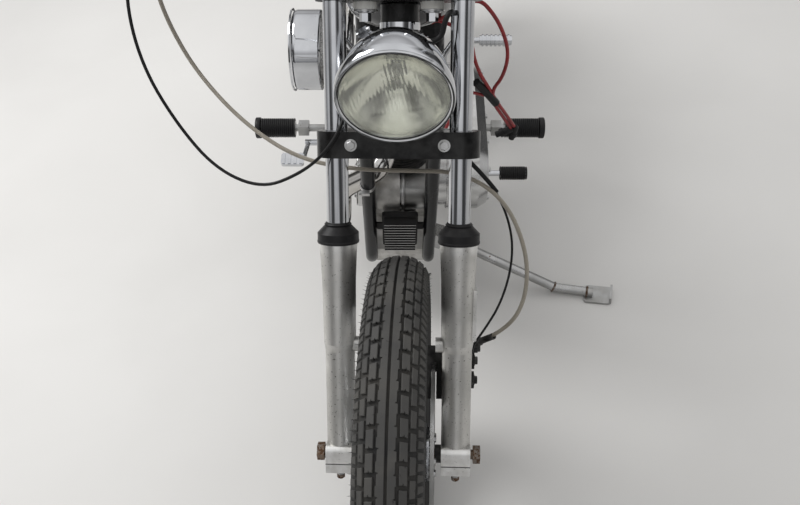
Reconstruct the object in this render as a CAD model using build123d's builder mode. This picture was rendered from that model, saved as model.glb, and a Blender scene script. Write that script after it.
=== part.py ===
from build123d import *
import math
import os

# A rigid-framed chopper motorcycle, parked on its side stand.
# Sizes are in millimetres. Every piece is drawn on the upright machine: +X is the rider's left,
# +Y points to the rear, +Z is up, Y is zero midway between the wheels, and the ground is at Z zero.
# The fork, yokes and bars are drawn on the fork's own frame: its origin is the front axle,
# its Z runs up the fork legs and its Y points rearward across them.
# At the end the whole machine leans onto its side stand and is written out.

# Stance
wheelbase = 1540
rake = 33                     # fork angle from the vertical, degrees
lean = 8                      # lean onto the side stand, degrees
rest_turn = 3                 # how far the front end rests turned to the right, degrees
front_lift = 1.05             # and how far it rides up its stem, so that the turned tyre meets the floor
parked_shift = 128.3          # puts the parked machine's middle over the origin, along X and Y
parked_forward = 15
front_axle_y = -wheelbase / 2
rear_axle_y = wheelbase / 2

# Tyres and rims
front_radius = 331
front_width = 100
front_rim_radius = 241
rear_radius = 322
rear_width = 130
rear_rim_radius = 203
rim_depth = 24
spoke_count = 36
spoke_size = 4.2              # across the flats of a spoke
tyre_gap = 0.3                # between a tyre's bead and its rim
front_axle_radius = 8
rear_axle_radius = 10
bearing_gap = 0.05            # running clearance of a hub on its axle

# Fork
leg_spacing = 190
stem_offset = 48              # steering axis behind the fork legs
stanchion_radius = 17.5
slider_radius = 27
slider_top = 361
dust_cap_height = 29
dust_cap_radius = 32.5
lower_yoke_height = 516
upper_yoke_height = 740
upper_yoke_boss = 28          # radius of the clamps round the fork tubes
lower_yoke_thickness = 40
upper_yoke_thickness = 30
stem_radius = 12.5
head_tube_radius = 30
head_tube_bore = 17
head_gap = 1.5                # bearing gap at each end of the head tube

# Frame tubes
rail_radius = 14
backbone_radius = 19
stay_radius = 12

# Engine
crank_y = -25
crank_z = 312
cylinder_angle = 22.5         # each cylinder leans this far from the vertical
barrel_radius = 48
fin_radius = 70
fin_count = 8
fin_thickness = 3.5
fin_pitch = 11
barrel_start = 118            # from the crank to the foot of the barrel
head_height = 62
rocker_height = 44

# Final drive
chain_x = 90
chain_pitch = 15.875
rear_teeth = 48
front_teeth = 21
chain_height = 13
output_y = 205
output_z = 335

# Lamp
lens_radius = 79
lamp_rim_radius = 85
lamp_depth = 112
lamp_tilt = 7.5               # how far the lamp points down, degrees
lamp_gap = 28.6               # from the back of the bucket to the face of the upper yoke
lamp_rise = 92.9              # from the top of the lower yoke up to the lamp's axis

os.makedirs("parts", exist_ok=True)

fork = Plane(
    origin=(0, front_axle_y, front_radius),
    x_dir=(1, 0, 0),
    z_dir=(0, math.sin(math.radians(rake)), math.cos(math.radians(rake))),
).location
parked = Location((-parked_shift, -parked_forward, 0)) * Location((0, 0, 0), (0, lean, 0))

# The front end rests turned a little about the steering stem, to the rider's right
stem = fork * Location((0, stem_offset, 0))
turned = stem * Location((0, 0, front_lift), (0, 0, -rest_turn)) * stem.inverse()
front_end = {
    "front_axle", "fork_slider_left", "fork_slider_right", "fork_stanchions", "fork_dust_caps",
    "lower_yoke_and_stem", "upper_yoke", "bar_risers", "handlebar", "handlebar_grips", "hand_levers",
    "headlamp_shell", "headlamp_lens", "brake_caliper", "brake_hose", "throttle_cable",
    "front_wire_wheel", "front_tyre", "front_brake_disc",
}


def write(piece, label, frame=Location()):
    """Stands a finished piece in its sub-assembly's frame, leans it with the machine and writes it."""
    place = parked * turned if label in front_end else parked
    placed = piece.moved(place * frame)
    placed.label = label
    export_step(placed, f"parts/{label}.step")


def across(x, y, z):
    """A plane that looks to the rider's left, for profiles drawn as seen from the side."""
    return Plane(origin=(x, y, z), x_dir=(0, 1, 0), z_dir=(1, 0, 0))


def along(start, end):
    """The plane at the start of a run, square to the run."""
    return Plane(origin=start, z_dir=Vector(*end) - Vector(*start))


def rod(start, end, radius, end_radius=None):
    """A round bar, or a taper, between two points."""
    length = (Vector(*end) - Vector(*start)).length
    with BuildPart() as bar:
        with BuildSketch(along(start, end)):
            Circle(radius)
        if end_radius is None:
            extrude(amount=length)
        else:
            with BuildSketch(along(start, end).offset(length)):
                Circle(end_radius)
            loft()
    return bar.part


def bend_radii(points):
    """The widest arc that each corner of a route leaves room for."""
    radii = []
    for before, corner, after in zip(points, points[1:], points[2:]):
        into = Vector(*corner) - Vector(*before)
        out = Vector(*after) - Vector(*corner)
        turn = math.radians(into.get_angle(out))
        radii.append(0.45 * min(into.length, out.length) / math.tan(turn / 2))
    return radii


def bent_tube(points, radius, bends=None, wall=None):
    """A round tube along straight runs that arcs join. With no bends given they are as wide as they fit."""
    with BuildPart() as tube:
        with BuildLine() as path:
            FilletPolyline(*points, radius=bends or bend_radii(points))
        with BuildSketch(Plane(origin=path.line @ 0, z_dir=path.line % 0)):
            Circle(radius)
            if wall:
                Circle(radius - wall, mode=Mode.SUBTRACT)
        sweep()
    return tube.part


def mirrored(part):
    """The same piece on the machine's other side."""
    return part.mirror(Plane.YZ)


def wire_wheel(axle_y, axle_z, rim_radius, rim_half, hub_radius, hub_half, flange_radius, shaft):
    """A rim, a hub with two flanges, and laced spokes between them, as one wheel."""
    middle = across(0, axle_y, axle_z)
    with BuildPart() as wheel:
        # rim section: a shallow drop-centre channel
        with BuildSketch(Plane(origin=(0, axle_y, axle_z), x_dir=(1, 0, 0), z_dir=(0, -1, 0))):
            with BuildLine():
                Polyline(
                    (-rim_half, rim_radius), (-rim_half + 15, rim_radius),
                    (-rim_half + 22, rim_radius - rim_depth), (rim_half - 22, rim_radius - rim_depth),
                    (rim_half - 15, rim_radius), (rim_half, rim_radius),
                    (rim_half, rim_radius - 9), (rim_half - 10, rim_radius - rim_depth - 4),
                    (-rim_half + 10, rim_radius - rim_depth - 4), (-rim_half, rim_radius - 9),
                    close=True,
                )
            make_face()
        revolve(axis=Axis((0, axle_y, axle_z), (1, 0, 0)))
        # hub barrel and flanges
        with BuildSketch(middle.offset(-hub_half)):
            Circle(hub_radius)
        extrude(amount=2 * hub_half)
        for side in (-1, 1):
            with BuildSketch(middle.offset(side * (hub_half - 6) - 3)):
                Circle(flange_radius)
            extrude(amount=6)
        # spokes: each leans back or forward along the rim, and runs in from its flange to the centre line
        reach = rim_radius - rim_depth - 2
        seats = []
        for number in range(spoke_count):
            side = 1 if number % 2 else -1
            trail = 1 if number % 4 < 2 else -1
            rim_angle = math.radians(number * 360 / spoke_count)
            hub_angle = rim_angle + trail * math.radians(62)
            near = Vector(
                side * (hub_half - 6),
                axle_y + (flange_radius - 5) * math.cos(hub_angle),
                axle_z + (flange_radius - 5) * math.sin(hub_angle),
            )
            far = Vector(
                side * 4,
                axle_y + reach * math.cos(rim_angle),
                axle_z + reach * math.sin(rim_angle),
            )
            seats.append(along(near, far))
            spoke_length = (far - near).length
        with BuildSketch(*seats):
            RegularPolygon(spoke_size / 2, 4)
        extrude(amount=spoke_length)
        # axle bore
        with BuildSketch(middle.offset(-hub_half)):
            Circle(shaft + bearing_gap)
        extrude(amount=2 * hub_half, mode=Mode.SUBTRACT)
    return wheel


def tyre(axle_y, axle_z, radius, width, bead_radius):
    """A tyre as a hollow ring: a rounded tread, tall side walls, and beads that stand on the rim."""
    half = width / 2
    wall = 11
    bead = bead_radius + tyre_gap
    belly = bead + 0.55 * (radius - 0.11 * width - bead)
    with BuildPart() as ring:
        with BuildSketch(Plane(origin=(0, axle_y, axle_z), x_dir=(1, 0, 0), z_dir=(0, -1, 0))):
            with BuildLine():
                Polyline(
                    (-0.34 * width, bead), (-half, belly), (-0.37 * width, radius - 0.11 * width),
                    (0, radius),
                    (0.37 * width, radius - 0.11 * width), (half, belly), (0.34 * width, bead),
                    (0.18 * width, bead), (0, radius - 0.11 * width - wall), (-0.18 * width, bead),
                    close=True,
                )
            make_face()
        revolve(axis=Axis((0, axle_y, axle_z), (1, 0, 0)))
    return ring


# Front wheel
front_hub_half = 54
front_wire_wheel = wire_wheel(
    front_axle_y, front_radius, front_rim_radius, 36, 30, front_hub_half, 46, front_axle_radius
)
write(front_wire_wheel.part, "front_wire_wheel")
front_tyre = tyre(front_axle_y, front_radius, front_radius, front_width, front_rim_radius)
write(front_tyre.part, "front_tyre")

disc_radius = 146
disc_thickness = 6
with BuildPart() as front_disc:
    with BuildSketch(across(front_hub_half, front_axle_y, front_radius)):
        Circle(disc_radius)
        Circle(disc_radius - 42, mode=Mode.SUBTRACT)
    extrude(amount=disc_thickness)
    with BuildSketch(across(front_hub_half, front_axle_y, front_radius)):
        Circle(disc_radius - 40)
        Circle(20, mode=Mode.SUBTRACT)
        with PolarLocations(74, 5):
            Circle(21, mode=Mode.SUBTRACT)
    extrude(amount=4)
write(front_disc.part, "front_brake_disc")

# Rear wheel, with its drum and sprocket on the left
rear_hub_half = 48
rear_wire_wheel = wire_wheel(
    rear_axle_y, rear_radius, rear_rim_radius, 44, 34, rear_hub_half, 50, rear_axle_radius
)
write(rear_wire_wheel.part, "rear_wire_wheel")
rear_tyre = tyre(rear_axle_y, rear_radius, rear_radius, rear_width, rear_rim_radius)
write(rear_tyre.part, "rear_tyre")

rear_pitch_radius = chain_pitch / 2 / math.sin(math.pi / rear_teeth)
front_pitch_radius = chain_pitch / 2 / math.sin(math.pi / front_teeth)
sprocket_gap = 1.2            # the rear sprocket turns under the chain
sprocket_seat = 0.3           # the chain's inner side lies on the output sprocket
drum_radius = 98
sprocket_thickness = 6
with BuildPart() as rear_sprocket:
    with BuildSketch(across(rear_hub_half, rear_axle_y, rear_radius)):
        Circle(drum_radius)
        Circle(20, mode=Mode.SUBTRACT)
    extrude(amount=30)
    with BuildSketch(across(chain_x - sprocket_thickness / 2, rear_axle_y, rear_radius)):
        RegularPolygon(rear_pitch_radius - chain_height / 2 - sprocket_gap, rear_teeth)
        Circle(62, mode=Mode.SUBTRACT)
        with PolarLocations(90, 8):
            Circle(12, mode=Mode.SUBTRACT)
    extrude(amount=sprocket_thickness)
    with BuildSketch(across(rear_hub_half + 30, rear_axle_y, rear_radius)):
        Circle(76)
        Circle(50, mode=Mode.SUBTRACT)
    extrude(amount=chain_x - sprocket_thickness / 2 - rear_hub_half - 30 + 1)
write(rear_sprocket.part, "rear_sprocket_drum")

# Front axle, through both fork legs
axle_half = 132
front_axle = rod((-axle_half, 0, 0), (axle_half, 0, 0), front_axle_radius)
with BuildPart() as axle_set:
    add(front_axle)
    for side in (-1, 1):
        with BuildSketch(Plane(origin=(side * 124, 0, 0), x_dir=(0, 1, 0), z_dir=(side, 0, 0))):
            RegularPolygon(15, 6)
        extrude(amount=12)
write(axle_set.part, "front_axle", fork)

# Fork legs: cast sliders, with the axle clamp, the mudguard boss and, on the left, the caliper web
leg_x = leg_spacing / 2
slider_bore = stanchion_radius + 0.4
boss_height = 192
stanchion_foot = 130


def slider(side):
    with BuildPart() as leg:
        with BuildSketch(Plane(origin=(side * leg_x, 0, 0), x_dir=(1, 0, 0), z_dir=(0, -1, 0))):
            with BuildLine():
                Polyline(
                    (0, -24), (21, -24), (24, -8), (24, boss_height - 8), (26, boss_height + 4),
                    (slider_radius, 300), (slider_radius + 3, slider_top), (0, slider_top), close=True,
                )
            make_face()
        revolve(axis=Axis((side * leg_x, 0, 0), (0, 0, 1)))
        # axle clamp, with its cap below the split
        with BuildSketch(Plane(origin=(side * leg_x - 24, 0, 0), x_dir=(0, 1, 0), z_dir=(1, 0, 0))):
            with Locations((0, 4)):
                RectangleRounded(58, 34, 9)
            with Locations((0, -16)):
                Rectangle(58, 18)
        extrude(amount=48)
        # mudguard boss on the inner face
        with BuildSketch(Plane(origin=(side * 60, 0, boss_height), x_dir=(0, 1, 0), z_dir=(side, 0, 0))):
            RectangleRounded(24, 22, 8)
        extrude(amount=28)
        if side > 0:
            # caliper web behind the leg, and the hose pad on its outer face
            with BuildSketch(Plane(origin=(leg_x - 14, 0, 0), x_dir=(0, 1, 0), z_dir=(1, 0, 0))):
                Polygon((0, 20), (46, 44), (62, 52), (62, 80), (34, 96), (34, 134), (62, 150),
                        (62, 176), (0, 196), align=None)
            extrude(amount=16)
            with BuildSketch(Plane(origin=(leg_x, 0, 245), x_dir=(0, 1, 0), z_dir=(1, 0, 0))):
                Rectangle(22, 84)
            extrude(amount=slider_radius + 3)
        # stanchion bore and axle bore
        with BuildSketch(Plane(origin=(side * leg_x, 0, stanchion_foot - 10), z_dir=(0, 0, 1))):
            Circle(slider_bore)
        extrude(amount=slider_top - stanchion_foot + 20, mode=Mode.SUBTRACT)
        with BuildSketch(Plane(origin=(side * leg_x - 40, 0, 0), x_dir=(0, 1, 0), z_dir=(1, 0, 0))):
            Circle(front_axle_radius + bearing_gap)
        extrude(amount=80, mode=Mode.SUBTRACT)
    return leg.part


write(slider(1), "fork_slider_left", fork)
write(slider(-1), "fork_slider_right", fork)

stanchion_top = upper_yoke_height + upper_yoke_thickness / 2 + 8
with BuildPart() as stanchions:
    with BuildSketch(Plane.XY.offset(stanchion_foot)):
        with Locations((-leg_x, 0), (leg_x, 0)):
            Circle(stanchion_radius)
    extrude(amount=stanchion_top - stanchion_foot)
write(stanchions.part, "fork_stanchions", fork)

with BuildPart() as dust_caps:
    for side in (-1, 1):
        with BuildSketch(Plane(origin=(side * leg_x, 0, 0), x_dir=(1, 0, 0), z_dir=(0, -1, 0))):
            with BuildLine():
                Polyline(
                    (stanchion_radius + 0.1, slider_top), (dust_cap_radius, slider_top), (dust_cap_radius, slider_top + 16),
                    (22, slider_top + dust_cap_height - 2), (stanchion_radius + 0.1, slider_top + dust_cap_height),
                    close=True,
                )
            make_face()
        revolve(axis=Axis((side * leg_x, 0, 0), (0, 0, 1)))
write(dust_caps.part, "fork_dust_caps", fork)

# Yokes: three round bosses in one hull, bored for the stanchions and the stem
head_low = lower_yoke_height + lower_yoke_thickness / 2
head_high = upper_yoke_height - upper_yoke_thickness / 2


def yoke(height, thickness, boss_radius, clamp_radius, stem_top=None):
    with BuildPart() as plate:
        with BuildSketch(Plane.XY.offset(height - thickness / 2)):
            with Locations((0, stem_offset)):
                Circle(boss_radius)
            with Locations((-leg_x, 0), (leg_x, 0)):
                Circle(clamp_radius)
            make_hull()
            with Locations((-leg_x, 0), (leg_x, 0)):
                Circle(stanchion_radius + 0.05, mode=Mode.SUBTRACT)
        extrude(amount=thickness)
        if stem_top:
            with BuildSketch(Plane.XY.offset(height)):
                with Locations((0, stem_offset)):
                    Circle(stem_radius)
            extrude(amount=stem_top - height)
    return plate.part


write(yoke(lower_yoke_height, lower_yoke_thickness, 32, 30, head_high), "lower_yoke_and_stem", fork)
write(yoke(upper_yoke_height, upper_yoke_thickness, 30, upper_yoke_boss), "upper_yoke", fork)
riser_x = 50
riser_y = 28
riser_height = 56
clamp_height = upper_yoke_height + upper_yoke_thickness / 2 + riser_height

# Risers hold the bars above the upper yoke, and their rubber-mounted bolts hang below it
bar_radius = 12.7
with BuildPart() as risers:
    with BuildSketch(Plane.XY.offset(upper_yoke_height + upper_yoke_thickness / 2)):
        with Locations((-riser_x, riser_y), (riser_x, riser_y)):
            Circle(19)
    extrude(amount=riser_height + 16)
    with BuildSketch(Plane.YZ.offset(-riser_x - 30)):
        with Locations((riser_y, clamp_height)):
            Circle(bar_radius + 0.05)
    extrude(amount=2 * riser_x + 60, mode=Mode.SUBTRACT)
    under = head_high
    with BuildSketch(Plane.XY.offset(under)):
        with Locations((-riser_x, riser_y - 16), (riser_x, riser_y - 16)):
            Circle(15)
    extrude(amount=-15)
    with BuildSketch(Plane.XY.offset(under - 15)):
        with Locations((-riser_x, riser_y - 16), (riser_x, riser_y - 16)):
            RegularPolygon(9, 6)
    extrude(amount=-14)
write(risers.part, "bar_risers", fork)


# Bars: one tube that goes out, climbs and comes back to the grips
def on_fork(x, y, z):
    """A point given on the fork's frame, on the machine."""
    tip = (fork * Location((x, y, z))).position
    return (tip.X, tip.Y, tip.Z)


def fork_level(y, z):
    """A plane across the fork, square to its legs."""
    return Plane(
        origin=on_fork(0, y, z),
        x_dir=(1, 0, 0),
        z_dir=(0, math.sin(math.radians(rake)), math.cos(math.radians(rake))),
    )


bar_centre = on_fork(0, riser_y, clamp_height)
bar_rise = (262, -328, 1212)
bar_end = (400, -199, 1199)
bar_route = [
    (-bar_end[0], bar_end[1], bar_end[2]), (-bar_rise[0], bar_rise[1], bar_rise[2]),
    (-160, bar_centre[1], bar_centre[2]), (160, bar_centre[1], bar_centre[2]),
    bar_rise, bar_end,
]
bar_bore = 9.5                # open bar ends, for weights or mirrors
bar_bore_depth = 40
with BuildPart() as handlebar:
    add(bent_tube(bar_route, bar_radius, bends=[55, 70, 70, 55]))
    for side in (-1, 1):
        mouth = Vector(side * bar_end[0], bar_end[1], bar_end[2])
        inward = Vector(side * (bar_rise[0] - bar_end[0]), bar_rise[1] - bar_end[1], bar_rise[2] - bar_end[2])
        with BuildSketch(Plane(origin=mouth, z_dir=inward)):
            Circle(bar_bore)
        extrude(amount=bar_bore_depth, mode=Mode.SUBTRACT)
write(handlebar.part, "handlebar")

grip_direction = (Vector(*bar_end) - Vector(*bar_rise)).normalized()
grip_length = 118
grip_start = Vector(*bar_end) - grip_direction * grip_length
with BuildPart() as left_grip:
    with BuildSketch(Plane(origin=grip_start, z_dir=grip_direction)):
        Circle(17)
        Circle(bar_radius + 0.1, mode=Mode.SUBTRACT)
    extrude(amount=grip_length)
    with BuildSketch(Plane(origin=grip_start, z_dir=grip_direction)):
        Circle(21)
        Circle(bar_radius + 0.1, mode=Mode.SUBTRACT)
    extrude(amount=6)
with BuildPart() as grips:
    add(left_grip.part)
    add(mirrored(left_grip.part))
write(grips.part, "handlebar_grips")

# Hand levers: a clamp on the bar, and a tapered blade out in front of the grip
perch_start = grip_start - grip_direction * 26
lever_root = perch_start + grip_direction * 10 + Vector(0, -34, -14)
lever_tip = Vector(*bar_end) + Vector(-6, -62, -20)
boss_seat = perch_start + grip_direction * 11
cable_boss = 28
hose_boss = 20
mirror_thread = 4.2           # tapping bore of an M10 mirror
mirror_depth = 14
with BuildPart() as left_lever:
    with BuildSketch(Plane(origin=perch_start, z_dir=grip_direction)):
        Circle(19)
        Circle(bar_radius + 0.1, mode=Mode.SUBTRACT)
    extrude(amount=22)
    with BuildSketch(along(perch_start + grip_direction * 11 + Vector(0, -15, -6), lever_root)):
        Rectangle(20, 14)
    extrude(amount=34)
    with BuildSketch(along(lever_root, lever_tip)):
        RectangleRounded(9, 16, 3)
    with BuildSketch(along(lever_root, lever_tip).offset((lever_tip - lever_root).length)):
        RectangleRounded(7, 11, 3)
    loft()
    add(rod(lever_root, lever_root - Vector(0, 0, hose_boss), 8))
    # mirror boss on top of the clamp, and a cable boss below it
    with BuildSketch(Plane(origin=boss_seat, z_dir=(0, 0, 1))):
        Circle(9)
    extrude(amount=32)
    with BuildSketch(Plane(origin=boss_seat, z_dir=(0, 0, -1))):
        Circle(6)
    extrude(amount=cable_boss)
    with BuildSketch(Plane(origin=boss_seat + Vector(0, 0, 32), z_dir=(0, 0, -1))):
        Circle(mirror_thread)
    extrude(amount=mirror_depth, mode=Mode.SUBTRACT)
    with BuildSketch(Plane(origin=perch_start - grip_direction * 20, z_dir=grip_direction)):
        Circle(bar_radius + 0.1)
    extrude(amount=80, mode=Mode.SUBTRACT)
with BuildPart() as levers:
    add(left_lever.part)
    add(mirrored(left_lever.part))
write(levers.part, "hand_levers")

# Headlamp: a bucket with a dished reflector, its rim, a post down to the lower yoke, and the glass
lens_thickness = 5
lamp_y = on_fork(0, -upper_yoke_boss, upper_yoke_height)[1] - lamp_gap - lamp_depth
lamp_z = on_fork(0, -12, head_low)[2] + lamp_rise
lamp_down = math.radians(lamp_tilt)
lamp_plane = Plane(
    origin=(0, lamp_y, lamp_z), x_dir=(1, 0, 0), z_dir=(0, -math.sin(lamp_down), math.cos(lamp_down)),
)
lamp_axis = Axis((0, lamp_y, lamp_z), (0, math.cos(lamp_down), math.sin(lamp_down)))
with BuildPart() as headlamp:
    with BuildSketch(lamp_plane):
        with BuildLine():
            Polyline(
                (0, lamp_depth), (30, lamp_depth), (42, 102), (62, 74), (74, 42), (78, 14), (lamp_rim_radius, 12),
                (lamp_rim_radius, -2), (lens_radius + 2, -7), (lens_radius + 0.3, -6), (lens_radius + 0.3, 0),
                (lens_radius - 5, 0), (lens_radius - 8, 16), (52, 42), (24, 60), (0, 64), close=True,
            )
        make_face()
    revolve(axis=lamp_axis)
    lamp_post = fork_level(-12, head_low + 0.2)
    with BuildSketch(lamp_post):
        Circle(10)
    extrude(amount=6)
    add(rod(on_fork(0, -12, head_low + 4.2), lamp_plane.from_local_coords(Vector(0, 50, -66)), 9))
write(headlamp.part, "headlamp_shell")

with BuildPart() as lens:
    with BuildSketch(lamp_plane):
        with BuildLine():
            Polyline(
                (0, -6 - lens_thickness), (lens_radius / 2, -4.6 - lens_thickness),
                (lens_radius, -0.3 - lens_thickness), (lens_radius, -0.3), (lens_radius / 2, -4.6), (0, -6),
                close=True,
            )
        make_face()
    revolve(axis=lamp_axis)
write(lens.part, "headlamp_lens")

# Brake caliper, on the web behind the left leg, straddling the disc
disc_x = front_hub_half + disc_thickness / 2
with BuildPart() as caliper:
    with BuildSketch(Plane(origin=(disc_x - 16, 0, 0), x_dir=(0, 1, 0), z_dir=(1, 0, 0))):
        Polygon((74, 66), (112, 88), (118, 120), (106, 150), (64.5, 168), align=None)
    extrude(amount=76)
    with BuildSketch(Plane(origin=(leg_x - 14, 0, 0), x_dir=(0, 1, 0), z_dir=(1, 0, 0))):
        with Locations((71.3, 73), (71.3, 159)):
            Rectangle(18, 16)
    extrude(amount=16)
    with BuildSketch(Plane(origin=(disc_x + 74, 0, 0), x_dir=(0, 1, 0), z_dir=(1, 0, 0))):
        with Locations((84, 158)):
            Circle(9)
    extrude(amount=-20)
    with BuildSketch(Plane(origin=(disc_x + 60, 0, 0), x_dir=(0, 1, 0), z_dir=(1, 0, 0))):
        with Locations((86, 98), (86, 134)):
            Circle(15)
    extrude(amount=10)
    with BuildSketch(Plane(origin=(disc_x - disc_thickness / 2 - 1.5, 0, 0), x_dir=(0, 1, 0), z_dir=(1, 0, 0))):
        Circle(disc_radius + 6)
    extrude(amount=disc_thickness + 3, mode=Mode.SUBTRACT)
write(caliper.part, "brake_caliper", fork)

# Frame: head tube and backbone, twin loops, seat post, and the rear stays with the axle plates
weld = 0.3                    # how far one tube's mouth stands off the tube that it meets
backbone_start = on_fork(0, stem_offset, head_high - 40)
backbone_end = (0, 262, 694)
with BuildPart() as frame_spine:
    with BuildSketch(fork_level(stem_offset, head_low + head_gap)):
        Circle(head_tube_radius)
    extrude(amount=head_high - head_low - 2 * head_gap)
    add(rod(backbone_start, backbone_end, backbone_radius))
    with BuildSketch(across(-4, 0, 0)):
        Polygon(
            on_fork(0, stem_offset + 20, head_low + 30)[1:], on_fork(0, stem_offset + 20, head_high - 60)[1:],
            (-180, backbone_start[2] - 62), (-190, backbone_start[2] - 74), align=None,
        )
    extrude(amount=8)
    with BuildSketch(fork_level(stem_offset, head_low)):
        Circle(head_tube_bore)
    extrude(amount=head_high - head_low, mode=Mode.SUBTRACT)
write(frame_spine.part, "frame_spine")

plate_x = 120
plate_front = rear_axle_y - 32
plate_length = 84
rail_route = [
    (22, -392, 826), (62, -306, 600), (65, -160, 132), (88, 180, 130), (112, 420, 136),
    (plate_x, plate_front + 4, rear_radius - 16),
]
head_clearance = rod(
    on_fork(0, stem_offset, head_low - 40), on_fork(0, stem_offset, head_high), head_tube_radius + weld
)
rail_bends = [220, 120, 300, 220]
rail_clearance = bent_tube(rail_route, rail_radius + weld, bends=rail_bends)
with BuildPart() as left_loop:
    add(bent_tube(rail_route, rail_radius, bends=rail_bends))
    add(head_clearance, mode=Mode.SUBTRACT)
    split(bisect_by=Plane(origin=(0, plate_front - weld, 0), z_dir=(0, -1, 0)), keep=Keep.TOP)
write(left_loop.part, "frame_left_loop")
write(mirrored(left_loop.part), "frame_right_loop")

seat_post_foot = (0, 300, 137)
with BuildPart() as seat_post:
    add(bent_tube([backbone_end, (0, 292, 640), seat_post_foot], stay_radius + 3, bends=[60]))
    add(rod((-104, 300, 137), (104, 300, 137), stay_radius))
    add(rod(backbone_start, (0, 262, 694), backbone_radius + weld), mode=Mode.SUBTRACT)
    add(rail_clearance, mode=Mode.SUBTRACT)
    add(mirrored(rail_clearance), mode=Mode.SUBTRACT)
write(seat_post.part, "frame_seat_post")

stay_route = [(12, 268, 688), (112, 430, 622), (plate_x, plate_front + 10, rear_radius + 12)]
stay_cross_x = 113            # the cross tube that the front of the fender rests on
fender_gap = 18               # from the tyre to the inside of the fender
fender_radius = rear_radius + fender_gap
cross_radius = 9
# it sits on the fender where the stay's lower run passes over it
run = Vector(0, *stay_route[2][1:]) - Vector(0, *stay_route[1][1:])
start = Vector(0, *stay_route[1][1:]) - Vector(0, rear_axle_y, rear_radius)
cross_reach = fender_radius + 12 + cross_radius + weld
lean_in = run.dot(start)
beyond = start.dot(start) - cross_reach ** 2
share = (-lean_in - math.sqrt(lean_in ** 2 - run.dot(run) * beyond)) / run.dot(run)
stay_cross_y = stay_route[1][1] + share * run.Y
stay_cross_z = stay_route[1][2] + share * run.Z
with BuildPart() as left_stay:
    add(bent_tube(stay_route, stay_radius, bends=[120]))
    add(rod(backbone_start, (0, 262, 694), backbone_radius + weld), mode=Mode.SUBTRACT)
    add(bent_tube([backbone_end, (0, 292, 640), seat_post_foot], stay_radius + 3 + weld, bends=[60]),
        mode=Mode.SUBTRACT)
    with BuildSketch(across(plate_x - 5, 0, 0)):
        Polygon((plate_front, rear_radius - 40), (plate_front + plate_length, rear_radius - 40),
                (plate_front + plate_length, rear_radius + 24), (plate_front + 20, rear_radius + 50),
                (plate_front, rear_radius + 50), align=None)
    extrude(amount=10)
    with BuildSketch(across(plate_x - 6, rear_axle_y, rear_radius)):
        SlotCenterToCenter(30, 2 * rear_axle_radius + 0.6)
    extrude(amount=12, mode=Mode.SUBTRACT)
with BuildPart() as rear_stays:
    add(left_stay.part)
    add(mirrored(left_stay.part))
    cross_end = (stay_cross_x, stay_cross_y, stay_cross_z)
    add(rod((-stay_cross_x, stay_cross_y, stay_cross_z), cross_end, cross_radius))
write(rear_stays.part, "frame_rear_stays")

with BuildPart() as rear_axle:
    axle_end = plate_x + 22
    add(rod((-axle_end, rear_axle_y, rear_radius), (axle_end, rear_axle_y, rear_radius), rear_axle_radius))
    for side in (-1, 1):
        with BuildSketch(across(side * (plate_x + 5.3), rear_axle_y, rear_radius)):
            RegularPolygon(17, 6)
        extrude(amount=side * 13)
        with BuildSketch(across(side * (plate_x - 5.3), rear_axle_y, rear_radius)):
            Circle(15)
        extrude(amount=-side * 14)
write(rear_axle.part, "rear_axle")

# Engine: crankcase with the cylinder decks, and the gearbox behind it
case_left = 72
case_right = -62


def up_cylinder(side, distance):
    """A plane across a cylinder, that far from the crank: side is -1 for the front one, 1 for the rear."""
    lean_out = math.radians(cylinder_angle)
    axis = Vector(0, side * math.sin(lean_out), math.cos(lean_out))
    return Plane(origin=Vector(0, crank_y, crank_z) + axis * distance, x_dir=(1, 0, 0), z_dir=axis)


v_gap = 1.0                   # half the slot between the two cylinders' fins
with BuildPart() as engine_cases:
    with BuildSketch(across(case_right, crank_y, crank_z)):
        Circle(104)
    extrude(amount=case_left - case_right)
    with BuildSketch(across(case_right, 0, 0)):
        with BuildLine():
            Polyline((crank_y, 212), (252, 226), (262, 250), (262, 392), (228, 424), (120, 424),
                     (60, 392), (crank_y, 392), close=True)
        make_face()
    extrude(amount=case_left - case_right)
    for side in (-1, 1):
        with BuildSketch(up_cylinder(side, 60)):
            Circle(60)
        extrude(amount=barrel_start - 60)
    for side in (-1, 1):
        with BuildSketch(up_cylinder(side, barrel_start)):
            Circle(fin_radius + 2)
        extrude(amount=60, mode=Mode.SUBTRACT)
    with BuildSketch(across(-34, 0, 0)):
        Polygon((-90, 330), (-165, 352), (-200, 352), (-206, 338), (-100, 270), align=None)
    extrude(amount=68)
    # mounting lugs between the rails, front and rear
    with BuildSketch(across(-64, 0, 0)):
        Polygon((-152, 148), (-118, 142), (-60, 240), (-100, 262), (-166, 200), align=None)
    extrude(amount=128)
    with BuildSketch(across(-60, 0, 0)):
        Polygon((222, 149.5), (258, 149.5), (250, 240), (216, 240), align=None)
    extrude(amount=120)
    with BuildSketch(across(-98, 240, 148)):
        Rectangle(34, 26)
    extrude(amount=196)
    add(rail_clearance, mode=Mode.SUBTRACT)
    add(mirrored(rail_clearance), mode=Mode.SUBTRACT)
write(engine_cases.part, "engine_cases")

barrel_top = barrel_start + 8 + fin_count * fin_pitch
head_start = barrel_top + 0.3


def barrel(side):
    with BuildPart() as stack:
        with BuildSketch(up_cylinder(side, barrel_start + 0.3)):
            RegularPolygon(barrel_radius, 20)
        extrude(amount=barrel_top - barrel_start - 0.3)
        for number in range(fin_count):
            with BuildSketch(up_cylinder(side, barrel_start + 9 + number * fin_pitch)):
                RegularPolygon(fin_radius, 20)
            extrude(amount=fin_thickness)
        split(bisect_by=Plane(origin=(0, crank_y + side * v_gap, 0), z_dir=(0, side, 0)), keep=Keep.TOP)
    return stack.part


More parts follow.
